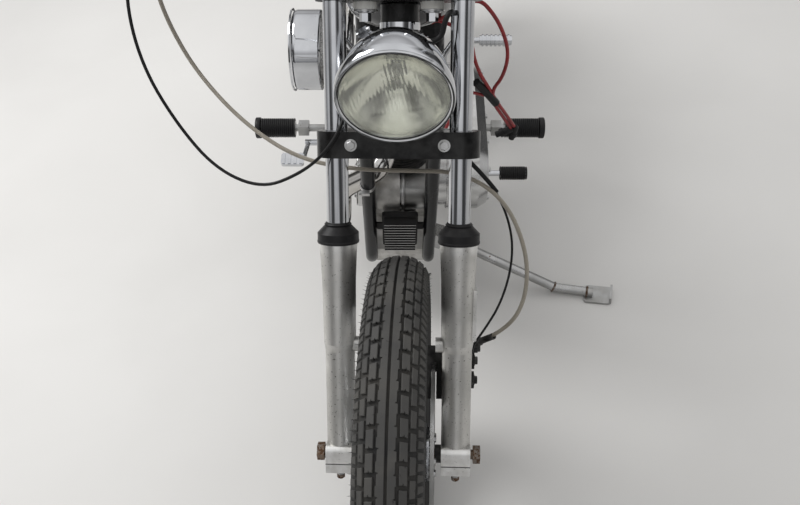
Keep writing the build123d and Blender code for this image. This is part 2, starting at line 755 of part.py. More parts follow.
def cylinder_head(side):
    with BuildPart() as head:
        with BuildSketch(up_cylinder(side, head_start)):
            Rectangle(96, 92)
        extrude(amount=head_height)
        for number in range(5):
            with BuildSketch(up_cylinder(side, head_start + 2 + number * 12)):
                Polygon(
                    (-64, -40), (-46, -58), (46, -58), (64, -40), (64, 40), (46, 58), (-46, 58), (-64, 40),
                    align=None,
                )
            extrude(amount=4)
        # exhaust port on the outer face, inlet port in the V
        port = up_cylinder(side, head_start + 30)
        outward = port.y_dir * side
        with BuildSketch(Plane(origin=port.origin + Vector(-30, 0, 0) + outward * 40, z_dir=outward)):
            Circle(27)
        extrude(amount=32)
        with BuildSketch(Plane(origin=port.origin + Vector(-34, 0, 0) - outward * 40, z_dir=outward * -1)):
            Circle(22)
        extrude(amount=22)
    return head.part


def rocker_box(side):
    base = head_start + head_height + 0.3
    with BuildPart() as box:
        with BuildSketch(up_cylinder(side, base)):
            RectangleRounded(124, 108, 24)
        extrude(amount=12)
        with BuildSketch(up_cylinder(side, base + 12)):
            RectangleRounded(108, 92, 22)
        extrude(amount=rocker_height - 12, taper=8)
    return box.part


with BuildPart() as barrels:
    add(barrel(-1))
    add(barrel(1))
write(barrels.part, "cylinder_barrels")
with BuildPart() as heads:
    add(cylinder_head(-1))
    add(cylinder_head(1))
write(heads.part, "cylinder_heads")
with BuildPart() as rocker_boxes:
    add(rocker_box(-1))
    add(rocker_box(1))
write(rocker_boxes.part, "rocker_boxes")

# Cam cover on the right, with the four pushrod tubes up to the heads
cam_depth = 36
with BuildPart() as cam_cover:
    with BuildSketch(across(case_right - 0.3 - cam_depth, 0, 0)):
        with Locations((crank_y, crank_z + 8)):
            Ellipse(96, 74)
        with Locations((crank_y - 62, crank_z + 44), (crank_y + 62, crank_z + 44)):
            Circle(34)
        with Locations((crank_y, crank_z - 46)):
            Circle(44)
    extrude(amount=cam_depth)
    fillet(cam_cover.faces().sort_by(Axis.X)[0].edges(), 5)
write(cam_cover.part, "cam_cover")

push_x = -80
push_foot = 105
with BuildPart() as pushrods:
    for side in (-1, 1):
        for step in (-1, 1):
            level = up_cylinder(side, push_foot)
            foot = level.origin + Vector(push_x, 0, 0) + level.y_dir * (step * 17)
            top = foot + level.z_dir * (head_start + head_height - push_foot)
            add(rod(foot, top, 8))
            add(rod(foot, foot + level.z_dir * 22, 12))
write(pushrods.part, "pushrod_tubes")

# Primary cover on the left: clutch and crank under one domed case
primary_inner = 106
primary_outer = 200
clutch_y = 205
clutch_z = 338
with BuildPart() as primary:
    with BuildSketch(across(primary_inner, 0, 0)):
        with Locations((crank_y, crank_z)):
            Circle(84)
        with Locations((clutch_y, clutch_z)):
            Circle(104)
        make_hull()
    extrude(amount=primary_outer - primary_inner - 22)
    extrude(primary.faces().sort_by(Axis.X)[-1], amount=22, taper=32)
    with BuildSketch(across(case_left + 0.3, crank_y, crank_z)):
        Circle(76)
    extrude(amount=primary_inner - case_left)
    with BuildSketch(across(primary_outer, clutch_y, clutch_z)):
        Circle(48)
    extrude(amount=7, taper=20)
write(primary.part, "primary_cover")

# Generator across the front of the crankcase, and the finned regulator between the down tubes
generator_y = -185
generator_z = 400
generator_radius = 40
with BuildPart() as generator:
    with BuildSketch(across(-62, generator_y, generator_z)):
        Circle(generator_radius)
    extrude(amount=117)
    with BuildSketch(across(-30, generator_y, generator_z)):
        Circle(generator_radius + 3)
    extrude(amount=30)
    with BuildSketch(across(-34, 0, 0)):
        Polygon((-200, 352.3), (-168, 352.3), (-172, 372), (-198, 372), align=None)
    extrude(amount=68)
write(generator.part, "generator")

regulator_width = 75
regulator_height = 130
down_tilt = math.degrees(math.atan2(146, 468))
regulator_plane = Plane(
    origin=(0, -232, 323),
    x_dir=(1, 0, 0),
    z_dir=(0, -math.cos(math.radians(down_tilt)), -math.sin(math.radians(down_tilt))),
)
with BuildPart() as regulator:
    with BuildSketch(regulator_plane.offset(-12)):
        RectangleRounded(regulator_width, regulator_height, 6)
    extrude(amount=12)
    with BuildSketch(regulator_plane):
        with GridLocations(1, 11.4, 1, 11):
            Rectangle(regulator_width - 8, 3)
    extrude(amount=17)
    with BuildSketch(regulator_plane.offset(-16)):
        Rectangle(112, 26)
    extrude(amount=4)
    add(rail_clearance, mode=Mode.SUBTRACT)
    add(mirrored(rail_clearance), mode=Mode.SUBTRACT)
write(regulator.part, "regulator")

# Induction on the right: a manifold into the V, the carburettor, and the round air cleaner
air_y = 5
air_z = 620
air_radius = 82
air_inner = -160
air_depth = 62
carb_y = crank_y
manifold_x = -34
inlet_reach = 62              # from a cylinder's axis to the mouth of its inlet port
inlet = up_cylinder(-1, head_start + 30)
inlet_mouth = inlet.origin + Vector(manifold_x, 0, 0) + inlet.y_dir * (inlet_reach + 0.3)
carb_z = inlet_mouth.Z + (carb_y - inlet_mouth.Y) * math.tan(math.radians(cylinder_angle))
with BuildPart() as carburettor:
    with BuildSketch(across(manifold_x, carb_y, carb_z)):
        Circle(20)
    extrude(amount=air_inner - manifold_x + 0.3)
    add(rod((manifold_x, carb_y, carb_z), tuple(inlet_mouth), 20))
    add(rod((manifold_x, carb_y, carb_z), (manifold_x, 2 * carb_y - inlet_mouth.Y, inlet_mouth.Z), 20))
    with BuildSketch(across(-136, carb_y, carb_z)):
        RectangleRounded(64, 68, 12)
    extrude(amount=54)
    with BuildSketch(Plane(origin=(-110, carb_y, carb_z - 30), x_dir=(1, 0, 0), z_dir=(0, 0, -1))):
        RectangleRounded(46, 52, 10)
    extrude(amount=34)
write(carburettor.part, "carburettor")

with BuildPart() as air_cleaner:
    with BuildSketch(Plane(origin=(air_inner, air_y, air_z), x_dir=(0, 1, 0), z_dir=(-1, 0, 0))):
        Circle(air_radius)
    extrude(amount=air_depth)
    fillet(air_cleaner.faces().sort_by(Axis.X)[0].edges(), 14)
    fillet(air_cleaner.faces().sort_by(Axis.X)[-1].edges(), 5)
write(air_cleaner.part, "air_cleaner")

# Exhausts: each leaves its port square, drops behind the down tube and runs back on the right
pipe_radius = 21
pipe_wall = 2


def port_mouth(side):
    port = up_cylinder(side, head_start + 30)
    outward = port.y_dir * side
    return port.origin + Vector(-30, 0, 0) + outward * (72 + 0.3), outward


front_mouth, front_out = port_mouth(-1)
front_route = [
    tuple(front_mouth), tuple(front_mouth + front_out * 42), (-122, -204, 420), (-134, -120, 240),
    (-152, 90, 212), (-160, 764, 226),
]
write(bent_tube(front_route, pipe_radius, bends=[38, 80, 90, 160], wall=pipe_wall), "front_exhaust")
rear_mouth, rear_out = port_mouth(1)
rear_route = [
    tuple(rear_mouth), tuple(rear_mouth + rear_out * 46), (-128, 196, 420), (-152, 290, 274),
    (-160, 764, 286),
]
write(bent_tube(rear_route, pipe_radius, bends=[38, 80, 120], wall=pipe_wall), "rear_exhaust")

# Fuel tank: a slim teardrop over the backbone, with its filler cap
tank_gap = 0.3
tank_sections = [
    (-286, 866, 30, 24), (-240, 864, 66, 44), (-140, 842, 98, 62), (0, 798, 92, 58), (90, 762, 60, 42),
    (128, 744, 34, 26),
]
with BuildPart() as fuel_tank:
    for station, middle, half_width, half_height in tank_sections:
        with BuildSketch(Plane(origin=(0, station, middle), x_dir=(1, 0, 0), z_dir=(0, -1, 0))):
            RectangleRounded(2 * half_width, 2 * half_height, 0.62 * half_height)
    loft()
    add(rod(backbone_start, backbone_end, backbone_radius + tank_gap), mode=Mode.SUBTRACT)
    with BuildSketch(across(-backbone_radius - tank_gap, 0, 0)):
        Polygon(
            (backbone_start[1], backbone_start[2]), (backbone_end[1], backbone_end[2]),
            (backbone_end[1], backbone_end[2] - 160), (backbone_start[1], backbone_start[2] - 160),
            align=None,
        )
    extrude(amount=2 * (backbone_radius + tank_gap), mode=Mode.SUBTRACT)
write(fuel_tank.part, "fuel_tank")

# Seat: a low rider's part that steps up to a passenger's part over the fender
def backbone_height(y):
    """How high the backbone's top face is at that place along the machine."""
    share = (y - backbone_start[1]) / (backbone_end[1] - backbone_start[1])
    slope = math.atan2(backbone_start[2] - backbone_end[2], backbone_end[1] - backbone_start[1])
    return backbone_start[2] + share * (backbone_end[2] - backbone_start[2]) + backbone_radius / math.cos(slope)


seat_width = 236
seat_gap = 0.4
with BuildPart() as seat:
    with BuildSketch(across(-seat_width / 2, 0, 0)):
        with BuildLine():
            Line((140, backbone_height(140) + seat_gap), (262, backbone_height(262) + seat_gap))
            Line((262, backbone_height(262) + seat_gap), (405, 724))
            Line((405, 724), (590, 752))
            Spline(
                (590, 752), (602, 792), (560, 822), (450, 820), (385, 788), (280, 752), (190, 766),
                (138, 786), (140, backbone_height(140) + seat_gap),
            )
        make_face()
    extrude(amount=seat_width)
write(seat.part, "seat")

# Oil tank between the seat post and the fender
with BuildPart() as oil_tank:
    with BuildSketch(Plane(origin=(0, 0, 428), x_dir=(1, 0, 0), z_dir=(0, 0, 1))):
        with Locations((0, 368)):
            RectangleRounded(224, 96, 30)
    extrude(amount=148)
    fillet(oil_tank.faces().sort_by(Axis.Z)[-1].edges(), 12)
    with BuildSketch(Plane(origin=(62, 352, 576), x_dir=(1, 0, 0), z_dir=(0, 0, 1))):
        Circle(19)
    extrude(amount=16)
    with BuildSketch(Plane(origin=(0, 321, 470), x_dir=(1, 0, 0), z_dir=(0, -1, 0))):
        Rectangle(60, 40)
    extrude(amount=18)
    add(rod((0, 292, 640), seat_post_foot, stay_radius + 3 + weld), mode=Mode.SUBTRACT)
write(oil_tank.part, "oil_tank")

# Rear fender: a crowned strip bent round the tyre
fender_half = 74
fender_wall = 3
fender_end = 12               # the rear lip's height round the wheel, degrees above the axle
fender_sweep = 138            # how far the strip runs forward from there
start_angle = math.radians(fender_end)
fender_plane = Plane(
    origin=(0, rear_axle_y, rear_radius),
    x_dir=(1, 0, 0),
    z_dir=(0, -math.sin(start_angle), math.cos(start_angle)),
)
with BuildPart() as fender:
    with BuildSketch(fender_plane):
        with BuildLine():
            Polyline(
                (-fender_half, fender_radius - 26), (-fender_half, fender_radius - 2),
                (-fender_half + 16, fender_radius + 12), (fender_half - 16, fender_radius + 12),
                (fender_half, fender_radius - 2), (fender_half, fender_radius - 26),
                (fender_half - fender_wall, fender_radius - 26), (fender_half - fender_wall, fender_radius - 3),
                (fender_half - 17, fender_radius + 9), (-fender_half + 17, fender_radius + 9),
                (-fender_half + fender_wall, fender_radius - 3),
                (-fender_half + fender_wall, fender_radius - 26), close=True,
            )
        make_face()
    revolve(axis=Axis((0, rear_axle_y, rear_radius), (1, 0, 0)), revolution_arc=fender_sweep)
write(fender.part, "rear_fender")

# Sissy bar: two uprights from the axle plates that close in a loop above the seat
sissy_top = 1010
bar_tube = 8
sissy_foot_y = plate_front + 60
sissy_foot_z = rear_radius + 8
sissy_route = [(plate_x + 18, sissy_foot_y, sissy_foot_z), (fender_half + 14, 800, 690), (58, 842, sissy_top),
               (-58, 842, sissy_top), (-fender_half - 14, 800, 690), (-plate_x - 18, sissy_foot_y, sissy_foot_z)]
crown = fender_radius + 12
cross_z = rear_radius + math.sqrt(crown ** 2 - 30 ** 2) + 6 + 0.3
with BuildPart() as sissy_bar:
    add(bent_tube(sissy_route, bar_tube, bends=[160, 50, 50, 160]))
    for side in (-1, 1):
        with BuildSketch(across(side * (plate_x + 5.3), sissy_foot_y, sissy_foot_z)):
            Circle(12)
        extrude(amount=side * 16)
    # cross bar that carries the fender's crown
    add(rod((-fender_half - 16, 800, cross_z), (fender_half + 16, 800, cross_z), 6))
write(sissy_bar.part, "sissy_bar")

# Fender struts, tail lamp and plate bracket
tail_angle = math.radians(fender_end + 22)
tail_y = rear_axle_y + (fender_radius + 12.3) * math.cos(tail_angle)
tail_z = rear_radius + (fender_radius + 12.3) * math.sin(tail_angle)
tail_plane = Plane(
    origin=(0, tail_y, tail_z), x_dir=(1, 0, 0),
    z_dir=(0, math.cos(tail_angle), math.sin(tail_angle)),
)
with BuildPart() as tail_lamp:
    with BuildSketch(tail_plane):
        RectangleRounded(60, 46, 10)
    extrude(amount=26)
    with BuildSketch(Plane(origin=(0, tail_y + 20, tail_z + 4), x_dir=(1, 0, 0), z_dir=(0, 1, 0))):
        Circle(38)
    extrude(amount=34)
write(tail_lamp.part, "tail_lamp_housing")
with BuildPart() as tail_lens:
    with BuildSketch(Plane(origin=(0, tail_y + 54.3, tail_z + 4), x_dir=(1, 0, 0), z_dir=(0, 1, 0))):
        Circle(36)
    extrude(amount=14)
    fillet(tail_lens.faces().sort_by(Axis.Y)[-1].edges(), 8)
write(tail_lens.part, "tail_lamp_lens")

plate_width = 210
plate_height = 120
plate_hole_spacing = 178
plate_hole = 3.5
plate_y = rear_axle_y + fender_radius + 12 + 6
plate_top = tail_z - 50
with BuildPart() as plate_bracket:
    with BuildSketch(Plane(origin=(0, plate_y, plate_top - plate_height / 2), x_dir=(-1, 0, 0), z_dir=(0, 1, 0))):
        RectangleRounded(plate_width, plate_height, 8)
        with GridLocations(plate_hole_spacing, 1, 2, 1):
            Circle(plate_hole, mode=Mode.SUBTRACT)
    extrude(amount=3)
    with BuildSketch(Plane(origin=(0, plate_y, 0), x_dir=(-1, 0, 0), z_dir=(0, 1, 0))):
        Polygon((-20, plate_top - 28), (20, plate_top - 28), (20, tail_z - 34.4), (-20, tail_z - 34.4),
                align=None)
    extrude(amount=-12)
write(plate_bracket.part, "plate_bracket")

# Rider's pegs: a stem, a fork-ended joint and a ribbed rubber with a flared end
rider_y = 160
rider_z = 300


def peg(root, start, tip, radius, flare, ribs):
    """A peg that points to the rider's left: a stem, the foot rubber, and its ribs."""
    length = tip - start
    with BuildPart() as foot_peg:
        add(rod((root, 0, 0), (start + 4, 0, 0), 9))
        with BuildSketch(across(start, 0, 0)):
            RegularPolygon(radius, 16)
        extrude(amount=length - 12)
        with BuildSketch(across(tip - 12, 0, 0)):
            RegularPolygon(flare, 16)
        extrude(amount=12)
        for number in range(ribs):
            with BuildSketch(across(start + (number + 0.5) * (length - 12) / ribs - 3, 0, 0)):
                RegularPolygon(radius + 3, 16)
            extrude(amount=6)
        with BuildSketch(across(start - 34, 0, 0)):
            Rectangle(30, 26)
        extrude(amount=26)
    return foot_peg.part


left_peg = peg(primary_outer + 0.3, 262, 360, 18, 25, 6)
right_peg = peg(-case_right + 0.3, 262, 360, 18, 25, 6)
with BuildPart() as rider_pegs:
    add(left_peg.moved(Location((0, rider_y, rider_z))))
    add(mirrored(right_peg).moved(Location((0, rider_y, rider_z))))
write(rider_pegs.part, "rider_pegs")

# Passenger's pegs, on arms from the lower rails
pass_y = 450
pass_z = 372
pass_inner = 214
pass_length = 86
with BuildPart() as left_pass:
    with BuildSketch(across(pass_inner, pass_y, pass_z)):
        RegularPolygon(13, 12)
    extrude(amount=pass_length)
    for number in range(7):
        with BuildSketch(across(pass_inner + 6 + number * 11.5, pass_y, pass_z)):
            RegularPolygon(16, 12)
        extrude(amount=5)
    add(bent_tube([(115, pass_y - 4, 153), (121, pass_y - 2, 330), (146, pass_y, pass_z),
                   (pass_inner + 4, pass_y, pass_z)], 8, bends=[30, 20]))
    add(rail_clearance, mode=Mode.SUBTRACT)
with BuildPart() as passenger_pegs:
    add(left_pass.part)
    add(mirrored(left_pass.part))
write(passenger_pegs.part, "passenger_pegs")

# Gear lever on the primary cover, and the brake pedal on its own shaft
shift_pivot = (primary_outer + 8, 112, 266)
shift_tip = (primary_outer + 8, -14, 300)
shift_radius = 14
with BuildPart() as shift_lever:
    add(rod((primary_outer + 0.3, 112, 266), (primary_outer + 18, 112, 266), 13))
    add(rod(shift_pivot, shift_tip, 5.5))
    add(rod((primary_outer + 2, shift_tip[1], shift_tip[2]), (240, shift_tip[1], shift_tip[2]), 6.5))
    with BuildSketch(across(236, shift_tip[1], shift_tip[2])):
        RegularPolygon(shift_radius, 12)
    extrude(amount=59)
write(shift_lever.part, "gear_lever")

pedal_shaft_y = 150
pedal_shaft_z = 262
with BuildPart() as brake_pedal:
    add(rod((case_right - 0.3, pedal_shaft_y, pedal_shaft_z), (-240, pedal_shaft_y, pedal_shaft_z), 8))
    add(rod((-232, pedal_shaft_y, pedal_shaft_z), (-236, 74, 276), 6))
    with BuildSketch(Plane(origin=(-262, 60, 276), x_dir=(1, 0, 0), z_dir=(0, -0.25, 1))):
        RectangleRounded(56, 34, 7)
    extrude(amount=9)
    for number in range(4):
        with BuildSketch(Plane(origin=(-283 + number * 14, 60, 276), x_dir=(1, 0, 0), z_dir=(0, -0.25, 1))):
            Rectangle(7, 30)
        extrude(amount=13)
write(brake_pedal.part, "brake_pedal")


# Final drive chain: a band round both sprockets, with the wide outer links fused along it
def belt(grow):
    """The outline that runs round both sprockets, that far outside the pitch line."""
    with BuildSketch(across(0, 0, 0)) as outline:
        with Locations((output_y, output_z)):
            Circle(front_pitch_radius + grow)
        with Locations((rear_axle_y, rear_radius)):
            Circle(rear_pitch_radius + grow)
        make_hull()
    return outline.sketch.face()


chain_width = 18
band_width = 9
pitch_line = belt(0).outer_wire()
link_count = int(pitch_line.length / chain_pitch / 2)
with BuildPart() as chain:
    with BuildSketch(across(chain_x - band_width / 2, 0, 0)) as band:
        with Locations((output_y, output_z)):
            Circle(front_pitch_radius + chain_height / 2 - 1.5)
        with Locations((rear_axle_y, rear_radius)):
            Circle(rear_pitch_radius + chain_height / 2 - 1.5)
        make_hull()
    extrude(amount=band_width)
    with BuildSketch(across(chain_x - band_width / 2, 0, 0)):
        with Locations((output_y, output_z)):
            Circle(front_pitch_radius - chain_height / 2 + 1.5)
        with Locations((rear_axle_y, rear_radius)):
            Circle(rear_pitch_radius - chain_height / 2 + 1.5)
        make_hull()
    extrude(amount=band_width, mode=Mode.SUBTRACT)
    seats = []
    for number in range(link_count):
        point = pitch_line @ (number / link_count)
        run = pitch_line % (number / link_count)
        seats.append(Plane(origin=(chain_x - chain_width / 2, point.Y, point.Z), x_dir=run, z_dir=(1, 0, 0)))
    with BuildSketch(*seats):
        Polygon((-12, 0), (-9, 6.5), (9, 6.5), (12, 0), (9, -6.5), (-9, -6.5), align=None)
    extrude(amount=chain_width)
write(chain.part, "drive_chain")

# Output sprocket, on the gearbox shaft
with BuildPart() as output_sprocket:
    with BuildSketch(across(chain_x - sprocket_thickness / 2, output_y, output_z)):
        RegularPolygon(front_pitch_radius - chain_height / 2 - sprocket_seat, front_teeth)
    extrude(amount=sprocket_thickness)
    with BuildSketch(across(case_left + 0.3, output_y, output_z)):
        Circle(22)
    extrude(amount=chain_x - case_left + 8)
write(output_sprocket.part, "output_sprocket")

# Side stand: a bracket and pin on the left rail, and a bent bar that ends in a flat foot
stand_pivot = Vector(120, -85, 150)
stand_axis = Vector(0.36, 0, 0.933).normalized()
pin_radius = 7
pin_gap = 0.08
stand_boss = 24


def on_floor(x, y, height):
    """A point above the floor that the leaning machine stands on, measured on the floor from the tyres."""
    tilt = math.radians(lean)
    return Vector(x * math.cos(tilt) - height * math.sin(tilt), y, x * math.sin(tilt) + height * math.cos(tilt))


def at_pivot(height):
    """A plane across the stand's hinge, that far up from its middle."""
    return Plane(origin=stand_pivot + stand_axis * height, z_dir=stand_axis)


foot_sole = 6
stand_bend = on_floor(382, -170, 17)
stand_tip = on_floor(470, -192, 11)
foot_out = (stand_tip - stand_bend).normalized()
foot_plane = Plane(
    origin=on_floor(482, -195, 0),
    x_dir=on_floor(600, -195 - 118 * 0.25, 0) - on_floor(482, -195, 0),
    z_dir=on_floor(0, 0, 1),
)
with BuildPart() as stand:
    with BuildSketch(at_pivot(-stand_boss / 2)):
        Circle(17)
    extrude(amount=stand_boss)
    add(rod(stand_pivot, stand_bend, 11))
    with Locations(stand_bend):
        Sphere(11)
    add(rod(stand_bend, stand_tip, 11))
    with BuildSketch(foot_plane):
        RectangleRounded(66, 52, 9)
    extrude(amount=foot_sole)
    with BuildSketch(foot_plane.offset(0)):
        with Locations((30, 0)):
            Rectangle(5, 44)
    extrude(amount=20)
    with BuildSketch(at_pivot(-stand_boss)):
        Circle(pin_radius + pin_gap)
    extrude(amount=2 * stand_boss, mode=Mode.SUBTRACT)
write(stand.part, "side_stand")

cheek = 7
with BuildPart() as stand_bracket:
    for height in (-stand_boss / 2 - 0.4 - cheek, stand_boss / 2 + 0.4):
        with BuildSketch(at_pivot(height)):
            Circle(17)
        extrude(amount=cheek)
    cheeks_low = at_pivot(-stand_boss / 2 - 0.4 - cheek)
    with BuildSketch(cheeks_low):
        with Locations((-34, 0)):
            Rectangle(28, 44)
    extrude(amount=stand_boss + 0.8 + 2 * cheek)
    for height in (-stand_boss / 2 - 0.4 - cheek, stand_boss / 2 + 0.4):
        with BuildSketch(at_pivot(height)):
            with Locations((-14, 0)):
                Rectangle(28, 34)
        extrude(amount=cheek)
    with BuildSketch(at_pivot(-stand_boss / 2 - 0.4 - cheek - 5)):
        Circle(pin_radius)
    extrude(amount=stand_boss + 0.8 + 2 * cheek + 10)
    add(rail_clearance, mode=Mode.SUBTRACT)
write(stand_bracket.part, "stand_bracket")

# Hoses and cables, from the bars down past the lamp
hose_radius = 5
cable_radius = 3.5
hose_foot = on_fork(131, 84, 167.6)
hose_route = [
    (-lever_root.X, lever_root.Y, lever_root.Z - hose_boss - 0.1),
    (-lever_root.X, lever_root.Y, lever_root.Z - hose_boss - 30), (-318, -350, 1090), (-344, -358, 1036),
    (-366, -342, 968), (-366, -322, 890),
    (-330, -344, 812), (-258, -396, 748), (-170, -450, 706), (-78, -478, 688), (10, -480, 684),
    (98, -482, 686), (168, -512, 660), (206, -566, 604), (204, -614, 540), (172, -632, 486),
    hose_foot,
]
brake_hose = bent_tube(hose_route, hose_radius)
write(brake_hose, "brake_hose")

throttle_route = [
    (-boss_seat.X, boss_seat.Y, boss_seat.Z - cable_boss - 0.1),
    (-boss_seat.X, boss_seat.Y, boss_seat.Z - cable_boss - 34), (-350, -290, 1090), (-386, -322, 1030),
    (-398, -374, 960), (-378, -424, 880),
    (-334, -462, 800), (-280, -496, 738), (-214, -518, 708), (-150, -524, 722),
    on_fork(-104, -44, 508), on_fork(-78, -40, 552), on_fork(-72, -10, 600), on_fork(-60, 20, 636),
]
throttle_cable = bent_tube(throttle_route, cable_radius)
write(throttle_cable, "throttle_cable")

carb_route = [
    on_fork(-42, 62, 650), (-48, -322, 800), (-58, -250, 762), (-76, -176, 722), (-98, -110, 690),
    (-114, -64, 662), (-118, -30, 640), (-118, carb_y, carb_z + 34.3),
]
carb_cable = bent_tube(carb_route, cable_radius)
write(carb_cable, "carburettor_cable")
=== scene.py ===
# %% [markdown]
# # A chopper on its side stand
# The machine stands in one frame, in metres: +Z up, +Y to its rear, +X to the rider's left.
# The CAD model brings the real solids. This script dresses them: tread, bolts, welds, fluted
# glass, a stitched seat and worn surfaces, each one riding on the body that it belongs to.

# %% Load the frame
import math

import bmesh
import bpy
import numpy as np
from mathutils import Matrix, Vector


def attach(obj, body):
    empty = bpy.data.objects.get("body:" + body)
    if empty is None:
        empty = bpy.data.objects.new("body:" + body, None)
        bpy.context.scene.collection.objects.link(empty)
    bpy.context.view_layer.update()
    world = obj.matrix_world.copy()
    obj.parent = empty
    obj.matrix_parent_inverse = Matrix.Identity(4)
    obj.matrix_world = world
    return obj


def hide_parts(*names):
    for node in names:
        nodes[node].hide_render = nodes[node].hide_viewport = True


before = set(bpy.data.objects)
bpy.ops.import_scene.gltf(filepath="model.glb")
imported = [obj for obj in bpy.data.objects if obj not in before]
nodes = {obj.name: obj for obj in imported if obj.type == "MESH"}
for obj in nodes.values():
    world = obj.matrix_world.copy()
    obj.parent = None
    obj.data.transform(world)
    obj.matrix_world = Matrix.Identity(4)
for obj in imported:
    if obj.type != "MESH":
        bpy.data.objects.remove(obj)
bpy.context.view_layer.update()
scene = bpy.context.scene
mm = 0.001
print(len(nodes), "solids stand in the frame")

# %% [markdown]
# The drawing frames. The machine leans and is steered a little, which would make every place a
# sum. So pieces are laid out on the upright machine or on its fork, in millimetres, and one
# matrix for each leans them onto the stand.

# %% Frames of the upright machine, the fork and the hubs


def shift(x, y, z):
    return Matrix.Translation((x, y, z))


def rotate(degrees, axis):
    return Matrix.Rotation(math.radians(degrees), 4, axis)


lean, rake, steered, front_lift = 8, 33, -3, 1.05      # degrees, and the lift in millimetres
front_axle_y, front_radius, rear_axle_y, rear_radius = -770, 331, 770, 322
stem_offset, upper_yoke, leg_x = 48, 740, 95
parked = shift(-0.1283, -0.015, 0) @ rotate(lean, "Y")
front_axle = shift(0, front_axle_y * mm, front_radius * mm)
upright_fork = front_axle @ rotate(-rake, "X")
stem = upright_fork @ shift(0, stem_offset * mm, 0)
turned = parked @ stem @ shift(0, 0, front_lift * mm) @ rotate(steered, "Z") @ stem.inverted()
fork = turned @ upright_fork
front_hub = turned @ front_axle
rear_hub = parked @ shift(0, rear_axle_y * mm, rear_radius * mm)
sideways, to_back, to_front = rotate(90, "Y"), rotate(-90, "X"), rotate(90, "X")    # for a lathe's Z
leftward, rightward, upward = Vector((1, 0, 0)), Vector((-1, 0, 0)), Vector((0, 0, 1))
forward, backward = Vector((0, -1, 0)), Vector((0, 1, 0))
print("the fork's axle stands", round(front_hub.translation.z * 1000, 1), "mm up")

# %% [markdown]
# Places. A point is given on the fork, or by what the picture shows at a depth, and a piece's
# frame by its origin and the way that its Z points. Trackers or empties could do the same, but
# plain matrices leave nothing behind in the scene.

# %% Places
eye, pitch, pixels = Vector((0, -1456, 1533)), 43.8, 800
sine, cosine = 0.692, 0.7218                           # of the camera's pitch


def on_fork(x, y, z):
    """A point given on the fork, on the upright machine."""
    return shift(0, front_axle_y, front_radius) @ rotate(-rake, "X") @ Vector((x, y, z))


def seen(u, v, y):
    """The point of the upright machine that the picture shows at that pixel, at that distance back."""
    right, down = (u - 400) / pixels, (v - 252.5) / pixels
    reach = (y - eye.y) / (sine - cosine * down)
    return Vector((right * reach, y, eye.z - (cosine + sine * down) * reach))


def aim(origin, direction, roll=0.0):
    """A frame in millimetres whose Z points that way."""
    turn = Vector(direction).to_track_quat("Z", "Y").to_matrix().to_4x4()
    return Matrix.Translation(origin) @ turn @ Matrix.Rotation(roll, 4, "Z")


def seat_at(place, origin, direction):
    """A frame in metres for one of many like pieces."""
    return place @ aim(Vector(origin) * mm, direction)


def around(count, radius=1.0, start=0.0):
    """Places evenly round a circle. The first is a share of a step past its start."""
    steps = [2 * math.pi * (k + start) / count for k in range(count)]
    return [(radius * math.cos(angle), radius * math.sin(angle)) for angle in steps]


# %% [markdown]
# The camera. It was solved from the photograph on the upright machine, so it leans with it.
# The picture looks down at the lamp and the front wheel from just above the bars.

# %% Camera
camera = bpy.data.objects.new("camera", bpy.data.cameras.new("camera"))
camera.data.sensor_width = camera.data.lens = 36
camera.matrix_world = parked @ Matrix.Translation(eye * mm) @ rotate(pitch, "X")
scene.collection.objects.link(camera)
scene.camera = camera
scene.view_settings.view_transform = "Standard"
print("the camera is", round(camera.matrix_world.translation.z, 3), "m up")

# %% [markdown]
# Shapes. A shape is a list of points in millimetres and a list of faces. Modifiers could make
# the same forms, but lists can be moved and joined before they become one mesh.

# %% Turned and drawn shapes


def skin(count, sides, closed=False, caps=False):
    """The faces between rings of points that follow each other, and over the two end rings."""
    faces = []
    for i in range(count if closed else count - 1):
        a, b = i * sides, (i + 1) % count * sides
        faces += [[a + k, a + (k + 1) % sides, b + (k + 1) % sides, b + k] for k in range(sides)]
    if caps:
        faces += [list(range(sides))[::-1], [(count - 1) * sides + k for k in range(sides)]]
    return faces


def lathe(profile, sides=32, closed=False):
    """A turned shape from (radius, height) pairs round Z. A zero radius closes it in a point."""
    points, faces, rings = [], [], []
    for radius, height in profile:
        places = around(sides, radius) if radius else [(0, 0)]
        rings.append(range(len(points), len(points) + len(places)))
        points += [(x, y, height) for x, y in places]
    for low, high in zip(rings, rings[1:] + rings[:1] if closed else rings[1:]):
        for i in range(sides):
            j = (i + 1) % sides
            corners = (low[i % len(low)], low[j % len(low)], high[j % len(high)], high[i % len(high)])
            if len(set(corners)) > 2:
                faces.append(list(dict.fromkeys(corners)))
    return points, faces


def ring(inner, outer, low, high, sides=32):
    return lathe([(inner, low), (outer, low), (outer, high), (inner, high)], sides, closed=True)


def tube(path, radius, sides=12, caps=True, closed=False):
    """A round tube along a path. The radius is a number, or one for each point of the path."""
    path = [Vector(p) for p in path]
    count = len(path)
    radii = radius if isinstance(radius, list) else [radius] * count
    points, normal = [], None
    for i, centre in enumerate(path):
        ahead = path[(i + 1) % count if closed else min(i + 1, count - 1)]
        run = (ahead - path[i - 1 if closed else max(i - 1, 0)]).normalized()
        normal = run.orthogonal() if normal is None else normal - run * normal.dot(run)
        normal.normalize()
        other = run.cross(normal)
        points += [centre + (normal * x + other * y) * radii[i] for x, y in around(sides)]
    return points, skin(count, sides, closed, caps and not closed)


def box_shape(x, y, z):
    """A block with its middle at the origin."""
    corners = ((-1, -1), (1, -1), (1, 1), (-1, 1))
    return [(a * x / 2, b * y / 2, c * z / 2) for c in (-1, 1) for a, b in corners], skin(2, 4, caps=True)


def moved(shape, matrix):
    """The same shape in another frame, in millimetres."""
    return [matrix @ Vector(p) for p in shape[0]], shape[1]


